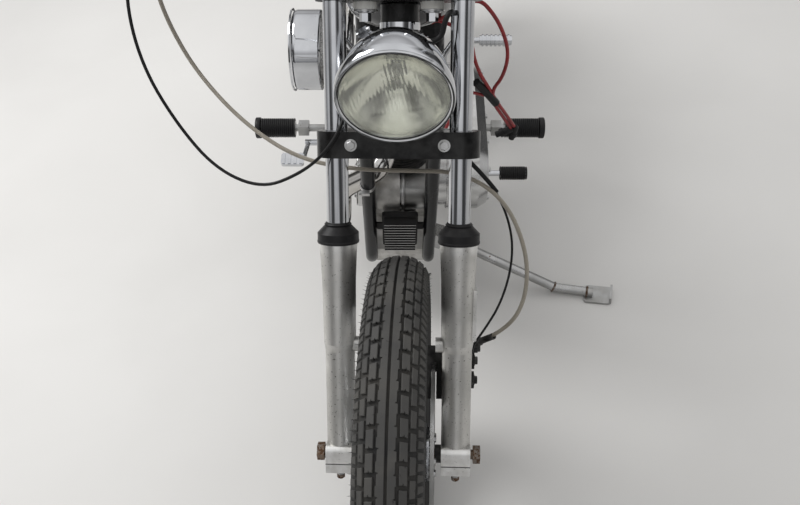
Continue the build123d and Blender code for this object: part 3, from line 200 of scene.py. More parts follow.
def joined(*shapes):
    """Several shapes as one."""
    points, faces = [], []
    for shape_points, shape_faces in shapes:
        faces += [[i + len(points) for i in face] for face in shape_faces]
        points += shape_points
    return points, faces


# %% [markdown]
# Pieces. A shape becomes a mesh in its place, with outward faces, and its object keeps its own
# origin at the frame's. A piece rides on a body, and may stand for a solid of the CAD model.

# %% From shapes to pieces


def as_mesh(name, shape, place):
    """A mesh with outward faces from a shape in millimetres of the given frame."""
    mesh = bpy.data.meshes.new(name)
    mesh.from_pydata([place @ (Vector(p) * mm) for p in shape[0]], [], shape[1])
    work = bmesh.new()
    work.from_mesh(mesh)
    bmesh.ops.recalc_face_normals(work, faces=work.faces)
    work.to_mesh(mesh)
    work.free()
    return mesh


def finished(name, mesh, material, body, angle=35):
    """Shades a mesh, gives it its material and lets it ride on a body."""
    mesh.materials.clear()
    mesh.materials.append(material)
    mesh.shade_smooth()
    mesh.set_sharp_from_angle(angle=math.radians(angle))
    made = bpy.data.objects.new(name, mesh)
    scene.collection.objects.link(made)
    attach(made, body)
    print(f"{name}: {len(mesh.polygons)} faces, on {body}")
    return made


def piece(name, shape, place, material, body, angle=35):
    return finished(name, as_mesh(name, shape, place), material, body, angle)


def stands_for(dressed, node):
    """Hides that solid, so that the piece shows in its place; the piece itself is not used."""
    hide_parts(node)


def evaluated(thing):
    """A plain mesh of an object with its modifiers done."""
    return bpy.data.meshes.new_from_object(thing.evaluated_get(bpy.context.evaluated_depsgraph_get()))


def merged(name, meshes):
    work = bmesh.new()
    for mesh in meshes:
        work.from_mesh(mesh)
    mesh = bpy.data.meshes.new(name)
    work.to_mesh(mesh)
    work.free()
    return mesh


# %% [markdown]
# Node trees are wired by two helpers, for geometry and for surfaces alike: one adds a node with
# its inputs filled, the other starts a group with named sockets.

# %% Wiring of nodes


def wired(tree, kind, inputs=(), **settings):
    """Adds a node, fills each input with a value or another node's output, and gives its outputs."""
    made = tree.nodes.new(kind)
    for key, value in settings.items():
        setattr(made, key, value)
    for label, value in dict(inputs).items():
        if isinstance(value, bpy.types.NodeSocket):
            tree.links.new(value, made.inputs[label])
        else:
            made.inputs[label].default_value = value
    return made.outputs


def product(tree, a, b):
    return wired(tree, "ShaderNodeMath", {0: a, 1: b}, operation="MULTIPLY")[0]


def node_group(label, kind, inputs, outputs):
    """An empty node group with its named sockets, and its given and its result sockets."""
    tree = bpy.data.node_groups.new(label, kind + "NodeTree")
    for way, sockets in (("OUTPUT", outputs), ("INPUT", inputs)):
        for name, socket in sockets.items():
            tree.interface.new_socket(name, in_out=way, socket_type="NodeSocket" + socket)
    return tree, tree.nodes.new("NodeGroupInput").outputs, tree.nodes.new("NodeGroupOutput").inputs


# %% [markdown]
# Like pieces are repeated by one geometry nodes tree. It sets a shape on every seat, turns it by
# the seat's own direction plus a little chance, and joins the lot into one plain mesh.

# %% The repeat tree
repeat, given, result = node_group(
    "Repeat on seats", "Geometry",
    {"Seats": "Geometry", "Shape": "Object", "Material": "Material", "Spin": "Float", "Jitter": "Float",
     "Seed": "Int"}, {"Geometry": "Geometry"})


def on_seat(name, data_type):
    """A value that each seat carries."""
    return wired(repeat, "GeometryNodeInputNamedAttribute", {"Name": name}, data_type=data_type)["Attribute"]


model = wired(repeat, "GeometryNodeObjectInfo", {"As Instance": True, "Object": given["Shape"]},
              transform_space="ORIGINAL")["Geometry"]
facing = wired(repeat, "FunctionNodeEulerToRotation", {"Euler": on_seat("turn", "FLOAT_VECTOR")})[0]
chance = wired(repeat, "FunctionNodeRandomValue", {"Min": -1.0, "Seed": given["Seed"]},
               data_type="FLOAT")["Value"]
roll = wired(repeat, "ShaderNodeCombineXYZ", {"Z": product(repeat, chance, given["Spin"])})[0]
roll = wired(repeat, "FunctionNodeEulerToRotation", {"Euler": roll})[0]
turn = wired(repeat, "FunctionNodeRotateRotation", {"Rotation": facing, "Rotate By": roll},
             rotation_space="LOCAL")[0]
swell = wired(repeat, "ShaderNodeMath", {0: chance, 1: given["Jitter"], 2: 1.0},
              operation="MULTIPLY_ADD")[0]
copies = wired(repeat, "GeometryNodeInstanceOnPoints", {
    "Points": given["Seats"], "Instance": model, "Rotation": turn,
    "Scale": product(repeat, swell, on_seat("grow", "FLOAT"))})["Instances"]
real = wired(repeat, "GeometryNodeRealizeInstances", {"Geometry": copies})[0]
painted = wired(repeat, "GeometryNodeSetMaterial", {"Geometry": real, "Material": given["Material"]})[0]
repeat.links.new(painted, result["Geometry"])
repeat_inputs = {item.name: item.identifier for item in repeat.interface.items_tree
                 if item.in_out == "INPUT"}


def repeated(shape, seats, material, sizes=None, spin=0.0, jitter=0.0, seed=1):
    """One plain mesh with the shape, drawn in millimetres, on every seat."""
    mesh = bpy.data.meshes.new("seats")
    mesh.from_pydata([seat.to_translation() for seat in seats], [], [])
    turns = mesh.attributes.new("turn", "FLOAT_VECTOR", "POINT")
    turns.data.foreach_set("vector", [a for seat in seats for a in seat.to_euler()])
    grow = mesh.attributes.new("grow", "FLOAT", "POINT")
    grow.data.foreach_set("value", sizes or [1.0] * len(seats))
    holder = bpy.data.objects.new("holder", mesh)
    sample = bpy.data.objects.new("sample", as_mesh("sample", shape, Matrix.Identity(4)))
    for thing in (holder, sample):
        scene.collection.objects.link(thing)
    modifier = holder.modifiers.new("Repeat", "NODES")
    modifier.node_group = repeat
    values = {"Shape": sample, "Material": material, "Spin": spin, "Jitter": jitter, "Seed": seed}
    for label, value in values.items():
        modifier[repeat_inputs[label]] = value
    made = evaluated(holder)
    for thing in (holder, sample):
        bpy.data.objects.remove(thing)
    return made


print(len(repeat.nodes), "nodes in the repeat tree")

# %% [markdown]
# Surface effects. Those that many surfaces share are node groups: clouds of two colours, specks,
# bare worn edges, settled dust, and uneven polish with a fine grain. Each is built once here.

# %% Shader groups


def noise(tree, vector, scale, detail=4.0, distortion=0.0):
    return wired(tree, "ShaderNodeTexNoise", {"Vector": vector, "Scale": scale, "Detail": detail,
                                              "Distortion": distortion})["Fac"]


def ramp(tree, value, low, high, start=0.0, end=1.0):
    return wired(tree, "ShaderNodeMapRange", {"Value": value, "From Min": low, "From Max": high,
                                              "To Min": start, "To Max": end})["Result"]


def mix(tree, factor, a, b, **settings):
    return wired(tree, "ShaderNodeMix", {"Factor": factor, "A": a, "B": b}, data_type="RGBA",
                 **settings)["Result"]


over = {"Vector": "Vector", "Scale": "Float", "Under": "Color", "Colour": "Color"}

clouded, given, result = node_group(
    "Clouded colour", "Shader", {"Vector": "Vector", "Scale": "Float", "Colour": "Color",
                                 "Second": "Color"}, {"Colour": "Color", "Clouds": "Float"})
clouds = noise(clouded, given["Vector"], given["Scale"], 6.0, 0.3)
shown = mix(clouded, ramp(clouded, clouds, 0.35, 0.68), given["Colour"], given["Second"])
clouded.links.new(shown, result["Colour"])
clouded.links.new(clouds, result["Clouds"])

specked, given, result = node_group("Specks", "Shader", {**over, "Level": "Float"}, {"Colour": "Color"})
full = wired(specked, "ShaderNodeMath", {0: given["Level"], 1: 0.06}, operation="ADD")[0]
speck = ramp(specked, noise(specked, given["Vector"], given["Scale"], 5.0), given["Level"], full)
specked.links.new(mix(specked, speck, given["Under"], given["Colour"]), result["Colour"])

worn_edge, given, result = node_group("Worn edge", "Shader", over, {"Colour": "Color"})
sharp = ramp(worn_edge, wired(worn_edge, "ShaderNodeNewGeometry")["Pointiness"], 0.505, 0.56)
broken = ramp(worn_edge, noise(worn_edge, given["Vector"], given["Scale"]), 0.35, 0.6)
shown = mix(worn_edge, product(worn_edge, sharp, broken), given["Under"], given["Colour"])
worn_edge.links.new(shown, result["Colour"])

dusted, given, result = node_group("Settled dust", "Shader", {**over, "Amount": "Float"},
                                   {"Colour": "Color"})
normal = wired(dusted, "ShaderNodeNewGeometry")["Normal"]
flat = ramp(dusted, wired(dusted, "ShaderNodeSeparateXYZ", {"Vector": normal})["Z"], 0.3, 1.0)
patches = ramp(dusted, noise(dusted, given["Vector"], given["Scale"]), 0.38, 0.62)
lying = product(dusted, product(dusted, flat, patches), given["Amount"])
dusted.links.new(mix(dusted, lying, given["Under"], given["Colour"]), result["Colour"])

polish, given, result = node_group(
    "Polish and grain", "Shader",
    {"Vector": "Vector", "Clouds": "Float", "Smoothest": "Float", "Roughest": "Float", "Grain": "Float",
     "Depth": "Float"}, {"Roughness": "Float", "Normal": "Vector"})
level = ramp(polish, given["Clouds"], 0.3, 0.7, given["Smoothest"], given["Roughest"])
polish.links.new(level, result["Roughness"])
grains = noise(polish, given["Vector"], given["Grain"], 3.0)
bumps = wired(polish, "ShaderNodeBump", {"Strength": given["Depth"], "Distance": 0.001, "Height": grains})
polish.links.new(bumps["Normal"], result["Normal"])
print(len(bpy.data.node_groups), "node groups")

# %% [markdown]
# One maker places those groups in a material, each with the values of that surface. The textures
# lie in object coordinates, so every piece of a finish looks cut from the same stuff.

# %% Material maker
finishes = {}


def surface(name, colour, second, roughness, metallic=0.0, cloud=8.0, grain=300.0, grain_depth=0.1,
            rough_spread=0.1, spots=None, edge=None, dust=None, specular=0.5, coat=0.0, clear=0.0):
    """A worn surface in two clouded colours. Spots add a size and a level to their colour, dust an
    amount to its colour. Clear is the share of light that glass lets through."""
    material = finishes[name] = bpy.data.materials.new(name)
    material.use_nodes = True
    tree = material.node_tree
    shader = tree.nodes["Principled BSDF"].inputs
    for label, value in (("Metallic", metallic), ("Specular IOR Level", specular), ("Coat Weight", coat),
                         ("Coat Roughness", 0.06), ("Transmission Weight", clear)):
        shader[label].default_value = value
    if clear:
        shader["IOR"].default_value = 1.46
    place = wired(tree, "ShaderNodeTexCoord")["Object"]

    def placed(group, **values):
        for label, value in values.items():
            values[label] = (*value, 1) if isinstance(value, tuple) else value
        return wired(tree, "ShaderNodeGroup", {"Vector": place, **values}, node_tree=group)

    base = placed(clouded, Scale=cloud, Colour=colour, Second=second)
    shown = base["Colour"]
    if spots:
        shown = placed(specked, Scale=spots[3], Level=spots[4], Under=shown, Colour=spots[:3])[0]
    if edge:
        shown = placed(worn_edge, Scale=cloud * 4, Under=shown, Colour=edge)[0]
    if dust:
        shown = placed(dusted, Scale=cloud * 2.3, Amount=dust[3], Under=shown, Colour=dust[:3])[0]
    finish = placed(polish, Clouds=base["Clouds"], Smoothest=roughness - rough_spread / 2,
                    Roughest=roughness + rough_spread, Grain=grain, Depth=grain_depth)
    tree.links.new(shown, shader["Base Color"])
    tree.links.new(finish["Roughness"], shader["Roughness"])
    tree.links.new(finish["Normal"], shader["Normal"])
    return material


# %% [markdown]
# The metals and paints: bright chrome, raw and polished aluminium, gloss enamel, black iron,
# plain and rusting steel. Image textures could show more, but these stay sharp at any distance.

# %% Metals and paints
dirt = (0.16, 0.14, 0.11)
chrome = surface("chrome", (0.62, 0.63, 0.65), (0.5, 0.51, 0.53), 0.07, 1.0, 14, 900, 0.015, 0.07,
                 spots=(0.3, 0.27, 0.23, 260, 0.72))
header_chrome = surface("header_chrome", (0.60, 0.60, 0.61), (0.50, 0.47, 0.42), 0.1, 1.0, 5, 800, 0.03,
                        spots=(0.34, 0.27, 0.18, 30, 0.66))
mirror = surface("mirror", (0.94, 0.94, 0.90), (0.88, 0.88, 0.83), 0.1, 1.0, 20, 600, 0.03)
surface("cast_aluminium", (0.66, 0.65, 0.625), (0.48, 0.475, 0.455), 0.34, 0.92, 13, 620, 0.22, 0.12,
        spots=(0.07, 0.065, 0.055, 300, 0.645), edge=(0.78, 0.775, 0.76))
polished_aluminium = surface("polished_aluminium", (0.62, 0.62, 0.62), (0.5, 0.5, 0.49), 0.17, 1.0, 10,
                             700, 0.05, 0.12, dust=(*dirt, 0.25))
engine_aluminium = surface("engine_aluminium", (0.44, 0.43, 0.405), (0.31, 0.30, 0.285), 0.44, 0.8, 12,
                           450, 0.3, 0.16, spots=(0.07, 0.06, 0.05, 110, 0.68), edge=(0.6, 0.59, 0.57),
                           dust=(*dirt, 0.3))
black_paint = surface("black_paint", (0.004, 0.004, 0.0045), (0.008, 0.008, 0.0085), 0.16, 0.0, 9, 400,
                      0.03, 0.12, edge=(0.03, 0.03, 0.03), dust=(*dirt, 0.05), specular=0.17)
surface("tank_paint", (0.010, 0.010, 0.012), (0.016, 0.016, 0.019), 0.1, 0.0, 5, 900, 0.02, 0.06,
        dust=(*dirt, 0.04), specular=0.3, coat=0.3)
black_iron = surface("black_iron", (0.009, 0.009, 0.0095), (0.018, 0.018, 0.0175), 0.4, 0.0, 14, 420,
                     0.25, 0.2, edge=(0.08, 0.078, 0.075), dust=(*dirt, 0.10), specular=0.2)
brushed_steel = surface("brushed_steel", (0.46, 0.46, 0.46), (0.33, 0.33, 0.32), 0.27, 1.0, 16, 420, 0.15,
                        0.16, spots=(0.13, 0.085, 0.055, 90, 0.68), dust=(*dirt, 0.2))
rusty_steel = surface("rusty_steel", (0.17, 0.115, 0.075), (0.27, 0.25, 0.23), 0.55, 0.6, 60, 700, 0.5,
                      0.25, spots=(0.09, 0.045, 0.022, 160, 0.5))
zinc = surface("zinc", (0.5, 0.5, 0.5), (0.37, 0.37, 0.36), 0.28, 1.0, 50, 800, 0.1, 0.15,
               spots=(0.12, 0.09, 0.07, 300, 0.7))
print(len(finishes), "metals and paints")

# %% [markdown]
# Rubbers, leather and glass. The hose's braid is two slanted waves over its own UV, one for each
# lay of the wires. Real woven wires would cost far more faces than they show.

# %% Rubber, leather, glass and braid
# The carcass rubber is set darker than the tread rubber partly as painted shade: it shows in the grooves
# between the blocks and makes them near black. The lighter tread blocks are worn rubber.
tyre_rubber = surface("tyre_rubber", (0.022, 0.022, 0.022), (0.034, 0.033, 0.031), 0.72, 0.0, 10, 600,
                      0.35, 0.12, dust=(0.11, 0.1, 0.085, 0.35), specular=0.3)
tread_rubber = surface("tread_rubber", (0.058, 0.057, 0.055), (0.086, 0.083, 0.077), 0.68, 0.0, 18, 700,
                       0.35, 0.14, spots=(0.03, 0.03, 0.03, 120, 0.66), specular=0.3)
rubber = surface("rubber", (0.010, 0.010, 0.011), (0.019, 0.019, 0.0195), 0.42, 0.0, 18, 600, 0.2, 0.16,
                 dust=(0.12, 0.11, 0.1, 0.10), specular=0.22)
leather = surface("leather", (0.013, 0.012, 0.012), (0.024, 0.022, 0.02), 0.4, 0.0, 9, 330, 0.55, 0.16,
                  edge=(0.05, 0.045, 0.04), specular=0.45)
white_rubber = surface("white_rubber", (0.92, 0.91, 0.87), (0.82, 0.80, 0.75), 0.6, 0.0, 60, 500, 0.2)
black_sheath = surface("black_sheath", (0.008, 0.008, 0.0085), (0.016, 0.016, 0.016), 0.34, 0.0, 30, 900,
                       0.12, dust=(0.12, 0.11, 0.1, 0.06), specular=0.22)
red_lead = surface("red_lead", (0.30, 0.008, 0.012), (0.20, 0.006, 0.008), 0.3, 0.0, 40, 700,
                   dust=(0.2, 0.12, 0.1, 0.15))
groove_black = surface("groove_black", (0.006, 0.006, 0.006), (0.012, 0.011, 0.010), 0.8, 0.0, 60, 500, 0.3)
clear_glass = surface("clear_glass", (0.97, 0.98, 0.93), (0.94, 0.95, 0.89), 0.03, 0.0, 30, 240, 0.01,
                      0.06, clear=0.9)
red_lens = surface("red_lens", (0.75, 0.02, 0.015), (0.6, 0.015, 0.01), 0.08, 0.0, 40, 240, 0.01, 0.06,
                   clear=1.0)
braid = surface("braid", (0.62, 0.57, 0.48), (0.50, 0.455, 0.38), 0.34, 0.2, 40, 900)
tree = braid.node_tree
uv = wired(tree, "ShaderNodeUVMap")["UV"]
lays = [wired(tree, "ShaderNodeMapping", {"Vector": uv, "Rotation": (0, 0, math.radians(slant))})[0]
        for slant in (45, -45)]
waves = [wired(tree, "ShaderNodeTexWave", {"Vector": lay, "Scale": 1.2})["Fac"] for lay in lays]
weave = product(tree, *waves)
bumps = wired(tree, "ShaderNodeBump", {"Strength": 0.7, "Distance": 0.001, "Height": weave})
shader = tree.nodes["Principled BSDF"].inputs
shown = mix(tree, weave, (0.36, 0.325, 0.27, 1), shader["Base Color"].links[0].from_socket)
tree.links.new(shown, shader["Base Color"])
tree.links.new(bumps["Normal"], shader["Normal"])
print(len(finishes), "finishes in all")

# %% [markdown]
# Each CAD solid takes its finish from its slot. The header pipes are browned by heat, and the
# axle's nuts are rusty, as the photograph shows.

# %% Finishes on the CAD solids
special = {"front_exhaust": header_chrome, "rear_exhaust": header_chrome, "front_axle": rusty_steel,
           "rider_pegs": brushed_steel, "regulator": groove_black}
for label, solid in nodes.items():
    slot = solid.data.materials[0].name
    for i in range(len(solid.data.materials)):
        solid.data.materials[i] = special.get(label, finishes[slot])
print(len(special), "solids have a finish of their own")

# %% [markdown]
# The stage: a pale plain floor and one big soft light from the upper left. More lights would
# give the tubes more streaks than the photograph's daylight does.

# %% Floor and light
floor = bpy.data.objects.new("floor", bpy.data.meshes.new("floor"))
floor.data.from_pydata([(-15, -15, 0), (15, -15, 0), (15, 15, 0), (-15, 15, 0)], [], [[0, 1, 2, 3]])
floor.data.materials.append(surface("floor", (0.70, 0.69, 0.67), (0.66, 0.65, 0.63), 0.75, cloud=1.4,
                                    grain=90, grain_depth=0.05))
key = bpy.data.objects.new("key", bpy.data.lights.new("key", "AREA"))
key.data.shape = "RECTANGLE"
key.data.size = key.data.size_y = 1.5
key.data.energy = 62
shining = Vector((2.1, -1.2, -2.8)).to_track_quat("-Z", "Y").to_matrix().to_4x4()
key.matrix_world = shift(-2.1, 0.7, 3.0) @ shining
for thing in (floor, key):
    scene.collection.objects.link(thing)
print("one light of", key.data.energy, "W")

# %% [markdown]
# The room that the chrome mirrors is bright above and has dark upright strips at its sides.
# Without the strips every bright tube would look like white plastic. The camera itself sees a
# plain pale backdrop.

# %% The room
scene.world = bpy.data.worlds.new("room")
scene.world.use_nodes = True
sky = scene.world.node_tree


def greys(value, *stops):
    """A ramp of greys. Each stop has its place, its grey, and its blue where that differs."""
    colour = wired(sky, "ShaderNodeValToRGB", {"Fac": value})["Color"]
    line = colour.node.color_ramp.elements
    for place, grey, *blue in stops:
        stop = line[0] if place == 0 else line[-1] if place == 1 else line.new(place)
        stop.color = (grey, grey, *(blue or [grey]), 1)
    return colour


gaze = wired(sky, "ShaderNodeTexCoord")["Generated"]
split = wired(sky, "ShaderNodeSeparateXYZ", {"Vector": gaze})
shade = greys(split["Z"], (0, 0.3, 0.305), (0.1, 0.5, 0.505), (0.3, 0.8, 0.808), (0.36, 0.5, 0.505),
              (0.55, 0.95, 0.9595), (1, 1))
compass = wired(sky, "ShaderNodeMath", {0: split["X"], 1: split["Y"]}, operation="ARCTAN2")[0]
strips = greys(ramp(sky, compass, -math.pi, math.pi), (0, 1), (0.06, 0.95), (0.09, 0.12), (0.16, 0.12),
               (0.19, 0.9), (0.30, 1.0), (0.34, 0.1), (0.41, 0.1), (0.44, 0.85), (0.58, 0.9), (0.61, 0.12),
               (0.66, 0.12), (0.70, 1.0), (0.82, 0.95), (0.86, 0.1), (0.92, 0.1), (0.95, 1.0), (1, 1))
low_down = ramp(sky, split["Z"], 0.45, 0.75, 1.0, 0.0)
room = mix(sky, low_down, shade, strips, blend_type="MULTIPLY")
by_camera = wired(sky, "ShaderNodeLightPath")["Is Camera Ray"]
sky.links.new(mix(sky, by_camera, room, (0.76, 0.76, 0.75, 1)), sky.nodes["Background"].inputs["Color"])
sky.nodes["Background"].inputs["Strength"].default_value = 0.92
print(len(sky.nodes), "nodes in the room")

# %% [markdown]
# The tyres. Each is a turned carcass with a rounded crown, and its tread is set on it block by
# block: two plain centre ribs with slanted sipes, then rows of blocks out to the shoulders. A
# bump map would be cheaper, but the blocks show at the tyre's outline.

# %% Tread shapes


def crown_line(radius, width, bead):
    """The tyre's outer line: half its width, its belly, and a function from the place across and
    the depth below the surface to (place, radius)."""
    half = width / 2
    belly = bead + 0.55 * (radius - 0.11 * width - bead)

    def height(x):
        return belly + (radius - belly) * math.sqrt(max(0.0, 1 - abs(x / half) ** 2.3))

    def at(x, sink):
        slope = (height(x + 0.05) - height(x - 0.05)) / 0.1
        normal = Vector((-slope, 1)).normalized()
        return x - normal.x * sink, height(x) - normal.y * sink

    return half, belly, at


def tread_block(outline, at, radius, pitch, depth=6.5, bevel=0.8):
    """One block from its outline (across, share of the pitch). Ends on the pitch join the next one."""
    middle_x, middle_s = (sum(values) / len(outline) for values in zip(*outline))
    points = []
    for inset, sink in ((bevel, 0.0), (0.0, bevel), (0.0, depth)):
        for x, share in outline:
            joins = share in (0.0, 1.0)
            along = share * pitch + (0 if joins else math.copysign(inset, middle_s - share))
            across, out = at(x + math.copysign(inset, middle_x - x), sink)
            points.append((across, out * math.sin(along / radius), out * math.cos(along / radius)))
    count = len(outline)
    return points, [list(range(count)), *skin(3, count), list(range(3 * count))[:2 * count - 1:-1]]


wall_line = [(0.985, 0.80), (0.975, 0.66), (1.0, 0.63), (0.965, 0.60), (0.93, 0.42), (0.86, 0.24),
             (0.84, 0.20), (0.87, 0.17), (0.80, 0.10), (0.72, 0.04), (0.70, 0.012)]
rib = [(2.0, 0.0), (13.8, 0.0), (13.8, 0.40), (9.2, 0.42), (8.8, 0.50), (12.2, 0.53), (12.4, 1.0), (2.0, 1.0)]
row = [(17.4, 0.03), (21.2, 0.03), (21.3, 0.10), (23.7, 0.10), (23.8, 0.02), (28.0, 0.0), (27.9, 0.80),
       (17.3, 0.84)]
outer = [(31.0, 0.42), (38.2, 0.44), (38.8, 1.18), (31.2, 1.22)]
shoulder = [(41.4, 0.06), (48.6, 0.09), (48.6, 0.38), (41.6, 0.42)]
edge = [(x, s + 0.5) for x, s in shoulder]
print("outlines for a tyre 100 mm wide, the ribs", rib[1][0] - rib[0][0], "mm wide")

# %% [markdown]
# Both tyres are dressed alike, the rear one wider. The thin rubber hairs that moulding leaves
# are spikes on the shoulders, each a little longer or shorter than the next.

# %% Tyres


def dress_tyre(name, hub, radius, width, bead, count, body, node):
    half, belly, at = crown_line(radius, width, bead)
    crown = []
    for degrees in np.linspace(-90, 90, 29):
        s = math.sin(math.radians(degrees))
        x = (half - 1.2) * math.copysign(abs(s) ** 0.87, s)
        crown.append((belly + (radius - 5.2 - belly) * max(0.0, math.cos(math.radians(degrees))), x))
    right = [(bead + height * (belly - bead), x * half) for x, height in wall_line]
    left = [(r, -x) for r, x in right][::-1]
    carcass = moved(lathe(left + crown + right, 144, closed=True), sideways)
    # The dark carcass shows between the tread blocks as painted shade in the grooves.
    stands_for(piece(name, carcass, hub, tyre_rubber, body, 50), node)

    wide = width / 100
    turns = [hub @ Matrix.Rotation(2 * math.pi * i / count, 4, "X") for i in range(count)]
    meshes = []
    for outline, slip in ((rib, 0.0), (row, 0.5), (outer, 0.5), (shoulder, 0.25), (edge, 0.25)):
        this = [(x * wide, s) for x, s in outline]
        other = [(-x, 1.0 - s if outline is rib else s + slip) for x, s in this]
        for version in (this, other):
            block = tread_block(version, at, radius, 2 * math.pi * radius / count)
            meshes.append(repeated(block, turns, tread_rubber))
    finished(name + "_tread", merged(name + "_tread", meshes), tread_rubber, body, 40)

    spike = lathe([(0.42, 0), (0.3, 3.0), (0, 5.5)], 3)
    seats = []
    for i in range(2 * count):
        turn = hub @ Matrix.Rotation(2 * math.pi * (i + 0.3) / (2 * count), 4, "X")
        for place in (-47.2 * wide, 47.2 * wide):
            (across, out), (beyond, higher) = at(place, 0.6), at(place, -5)
            lay = 0.8 * math.sin(i * 5)
            seats.append(seat_at(turn, (across, 0, out), (beyond - across, lay, higher - out)))
    hairs = repeated(spike, seats, tyre_rubber, jitter=0.3, seed=4)
    finished(name + "_hairs", hairs, tyre_rubber, body)


dress_tyre("front_tyre_dressed", front_hub, front_radius, 100, 241.6, 68, "front_wheel", "front_tyre")
dress_tyre("rear_tyre_dressed", rear_hub, rear_radius, 130, 203.6, 60, "rear_wheel", "rear_tyre")

# %% [markdown]
# The wheels' small parts: a nipple where each spoke meets the rim, its bent head at the flange,
# and the valve. The spokes themselves are solids of the CAD model.

# %% Spoke nipples and valves
nipple = lathe([(0, -1), (3.4, -1), (3.6, 6), (2.6, 15), (2.1, 16), (0, 16)], 8)
elbow = lathe([(0, -2), (3.6, -2), (3.6, 0), (2.6, 2), (0, 2)], 8)
valve = joined(lathe([(0, 0), (5, 0), (5, 3), (3, 5), (2.6, 24), (0, 24)], 10),
               lathe([(0, 22), (3.9, 22), (3.9, 33), (2.5, 35), (0, 35)], 10))
spokes, crossing = 36, 62
for body, hub, rim, half, flange in (("front_wheel", front_hub, 241, 54, 46),
                                     ("rear_wheel", rear_hub, 203, 48, 50)):
    tips, heads = [], []
    for number in range(spokes):
        side, trail = 1 if number % 2 else -1, 1 if number % 4 < 2 else -1
        at_rim = math.radians(number * 360 / spokes)
        at_hub = at_rim + math.radians(trail * crossing)
        near = Vector((side * (half - 6), (flange - 5) * math.cos(at_hub), (flange - 5) * math.sin(at_hub)))
        far = Vector((side * 4, (rim - 26) * math.cos(at_rim), (rim - 26) * math.sin(at_rim)))
        tips.append(seat_at(hub, far, near - far))
        heads.append(seat_at(hub, near + leftward * side * 4, leftward * side))
    meshes = [repeated(nipple, tips, zinc, spin=0.5, seed=2), repeated(elbow, heads, zinc)]
    finished(body + "_nipples", merged("nipples", meshes), zinc, body)
    foot = (0, 0.5 * (rim - 28), -0.866 * (rim - 28))
    piece(body + "_valve", moved(valve, aim(foot, (0, -0.5, 0.866))), hub, black_sheath, body)

# %% [markdown]
# Bolts hold the machine together, and each has its own size and place. They are listed by the
# body that carries them: where each sits, which way its head faces, and how wide it is. First
# come the places that follow a case's outline or a cylinder.

# %% Places of bolts
hex_head = joined(lathe([(0, 0), (1.3, 0), (1.3, 0.16), (0, 0.16)], 16),
                  lathe([(0, 0.1), (1.0, 0.1), (1.0, 0.72), (0.86, 0.84), (0, 0.84)], 6))
cap_head = joined(
    lathe([(0, 0), (1.25, 0), (1.25, 0.14), (0, 0.14)], 14),
    lathe([(0, 0.5), (0.5, 0.5), (0.5, 0.95), (0.88, 0.95), (1.0, 0.85), (1.0, 0.1), (0, 0.1)], 14))
crank, cylinder_angle = Vector((0, -25, 312)), math.radians(22.5)
sprocket, clutch = Vector((205, 335)), Vector((205, 338))


def belt_points(first, first_radius, second, second_radius, count):
    """Evenly spaced points on the line round two circles, in (y, z)."""
    gap = second - first
    heading = math.atan2(gap.y, gap.x)
    opening = math.acos((first_radius - second_radius) / gap.length)
    line = []
    for centre, radius, start, end in (
        (second, second_radius, heading - opening, heading + opening),
        (first, first_radius, heading + opening, heading + 2 * math.pi - opening),
    ):
        for angle in np.linspace(start, end, 49):
            line.append(centre + radius * Vector((math.cos(angle), math.sin(angle))))
    line = np.array(line + line[:1])
    lengths = np.concatenate([[0], np.cumsum(np.linalg.norm(np.diff(line, axis=0), axis=1))])
    places = lengths[-1] * np.arange(count) / count
    return list(zip(*(np.interp(places, lengths, line[:, axis]) for axis in (0, 1))))


def on_cylinder(side, x, y, distance):
    """A point beside a cylinder's own axis: side is -1 for the front one."""
    axis = Vector((0, side * math.sin(cylinder_angle), math.cos(cylinder_angle)))
    along = axis.cross(leftward)
    return crank + axis * distance + leftward * x + along * y, axis, along


print("the cylinders stand", round(2 * math.degrees(cylinder_angle)), "degrees apart")

# %% [markdown]
# The bolts of a body are one mesh, so a hundred heads cost no more objects than one. A random
# turn of each head, from a fixed seed, keeps them from looking stamped.

# %% Bolts
homes = {"chassis": parked, "steering": fork, "front_wheel": front_hub, "rear_wheel": rear_hub}
hexes, caps = {body: [] for body in homes}, {body: [] for body in homes}
hexes["steering"] += [((x, -30, 516), forward, 7.2) for x in (-70, 70)]
for x in (-leg_x, leg_x):
    hexes["steering"].append(((x, 0, upper_yoke + 23), upward, 15))
    hexes["steering"] += [((x, y, -25), -upward, 6.5) for y in (-20, 20)]
    caps["steering"].append(((x * 0.98, 27, upper_yoke), backward, 5))
caps["steering"] += [((x, y, upper_yoke + 87), upward, 5) for x in (-50, 50) for y in (19, 37)]
hexes["steering"].append(((0, stem_offset, upper_yoke + 15), upward, 17))
hexes["front_wheel"] += [((58, y, z), leftward, 6) for y, z in around(5, 32)]
hexes["rear_wheel"] += [((93, y, z), leftward, 6) for y, z in around(8, 72, 0.5)]
caps["chassis"] += [((200, y, z), leftward, 5) for y, z in belt_points(crank.yz, 64, clutch, 82, 12)]
caps["chassis"] += [((207, clutch.x + y, clutch.y + z), leftward, 4) for y, z in around(3, 36, 0.25)]
caps["chassis"] += [((-98.3, y, z), rightward, 4.6) for y, z in (
    (-106, 366), (54, 368), (-25, 384), (-112, 318), (60, 318), (-54, 240), (4, 240))]
for side in (-1, 1):
    for x, y, distance, size in [(x, y, 288.6, 5.4) for x in (-55, 0, 55) for y in (-47, 47)] + [
            (x * 1.35, y * 1.05, 236, 6.5) for x in (-36, 36) for y in (-40, 40)]:
        origin, axis, along = on_cylinder(side, x, y, distance)
        hexes["chassis"].append((origin, axis, size))
hexes["chassis"] += [((x, 240, 161), upward, 6) for x in (-98, 98)]
for y in (88, 150, 212):
    hexes["chassis"] += [((-62, y, 240), rightward, 6), ((-62, y, 404), rightward, 5.5)]
for y, z in around(4, 30, 20 / 90):
    caps["chassis"] += [((x, y - 185, z + 400), leftward * x, 3.6) for x in (-62, 55)]
for side in (-1, 1):
    hexes["chassis"] += [((side * 125.3, 752, z), leftward * side, 6) for z in (300, 352)]
    hexes["chassis"].append(((side * 60, 800, 674), upward, 5.5))
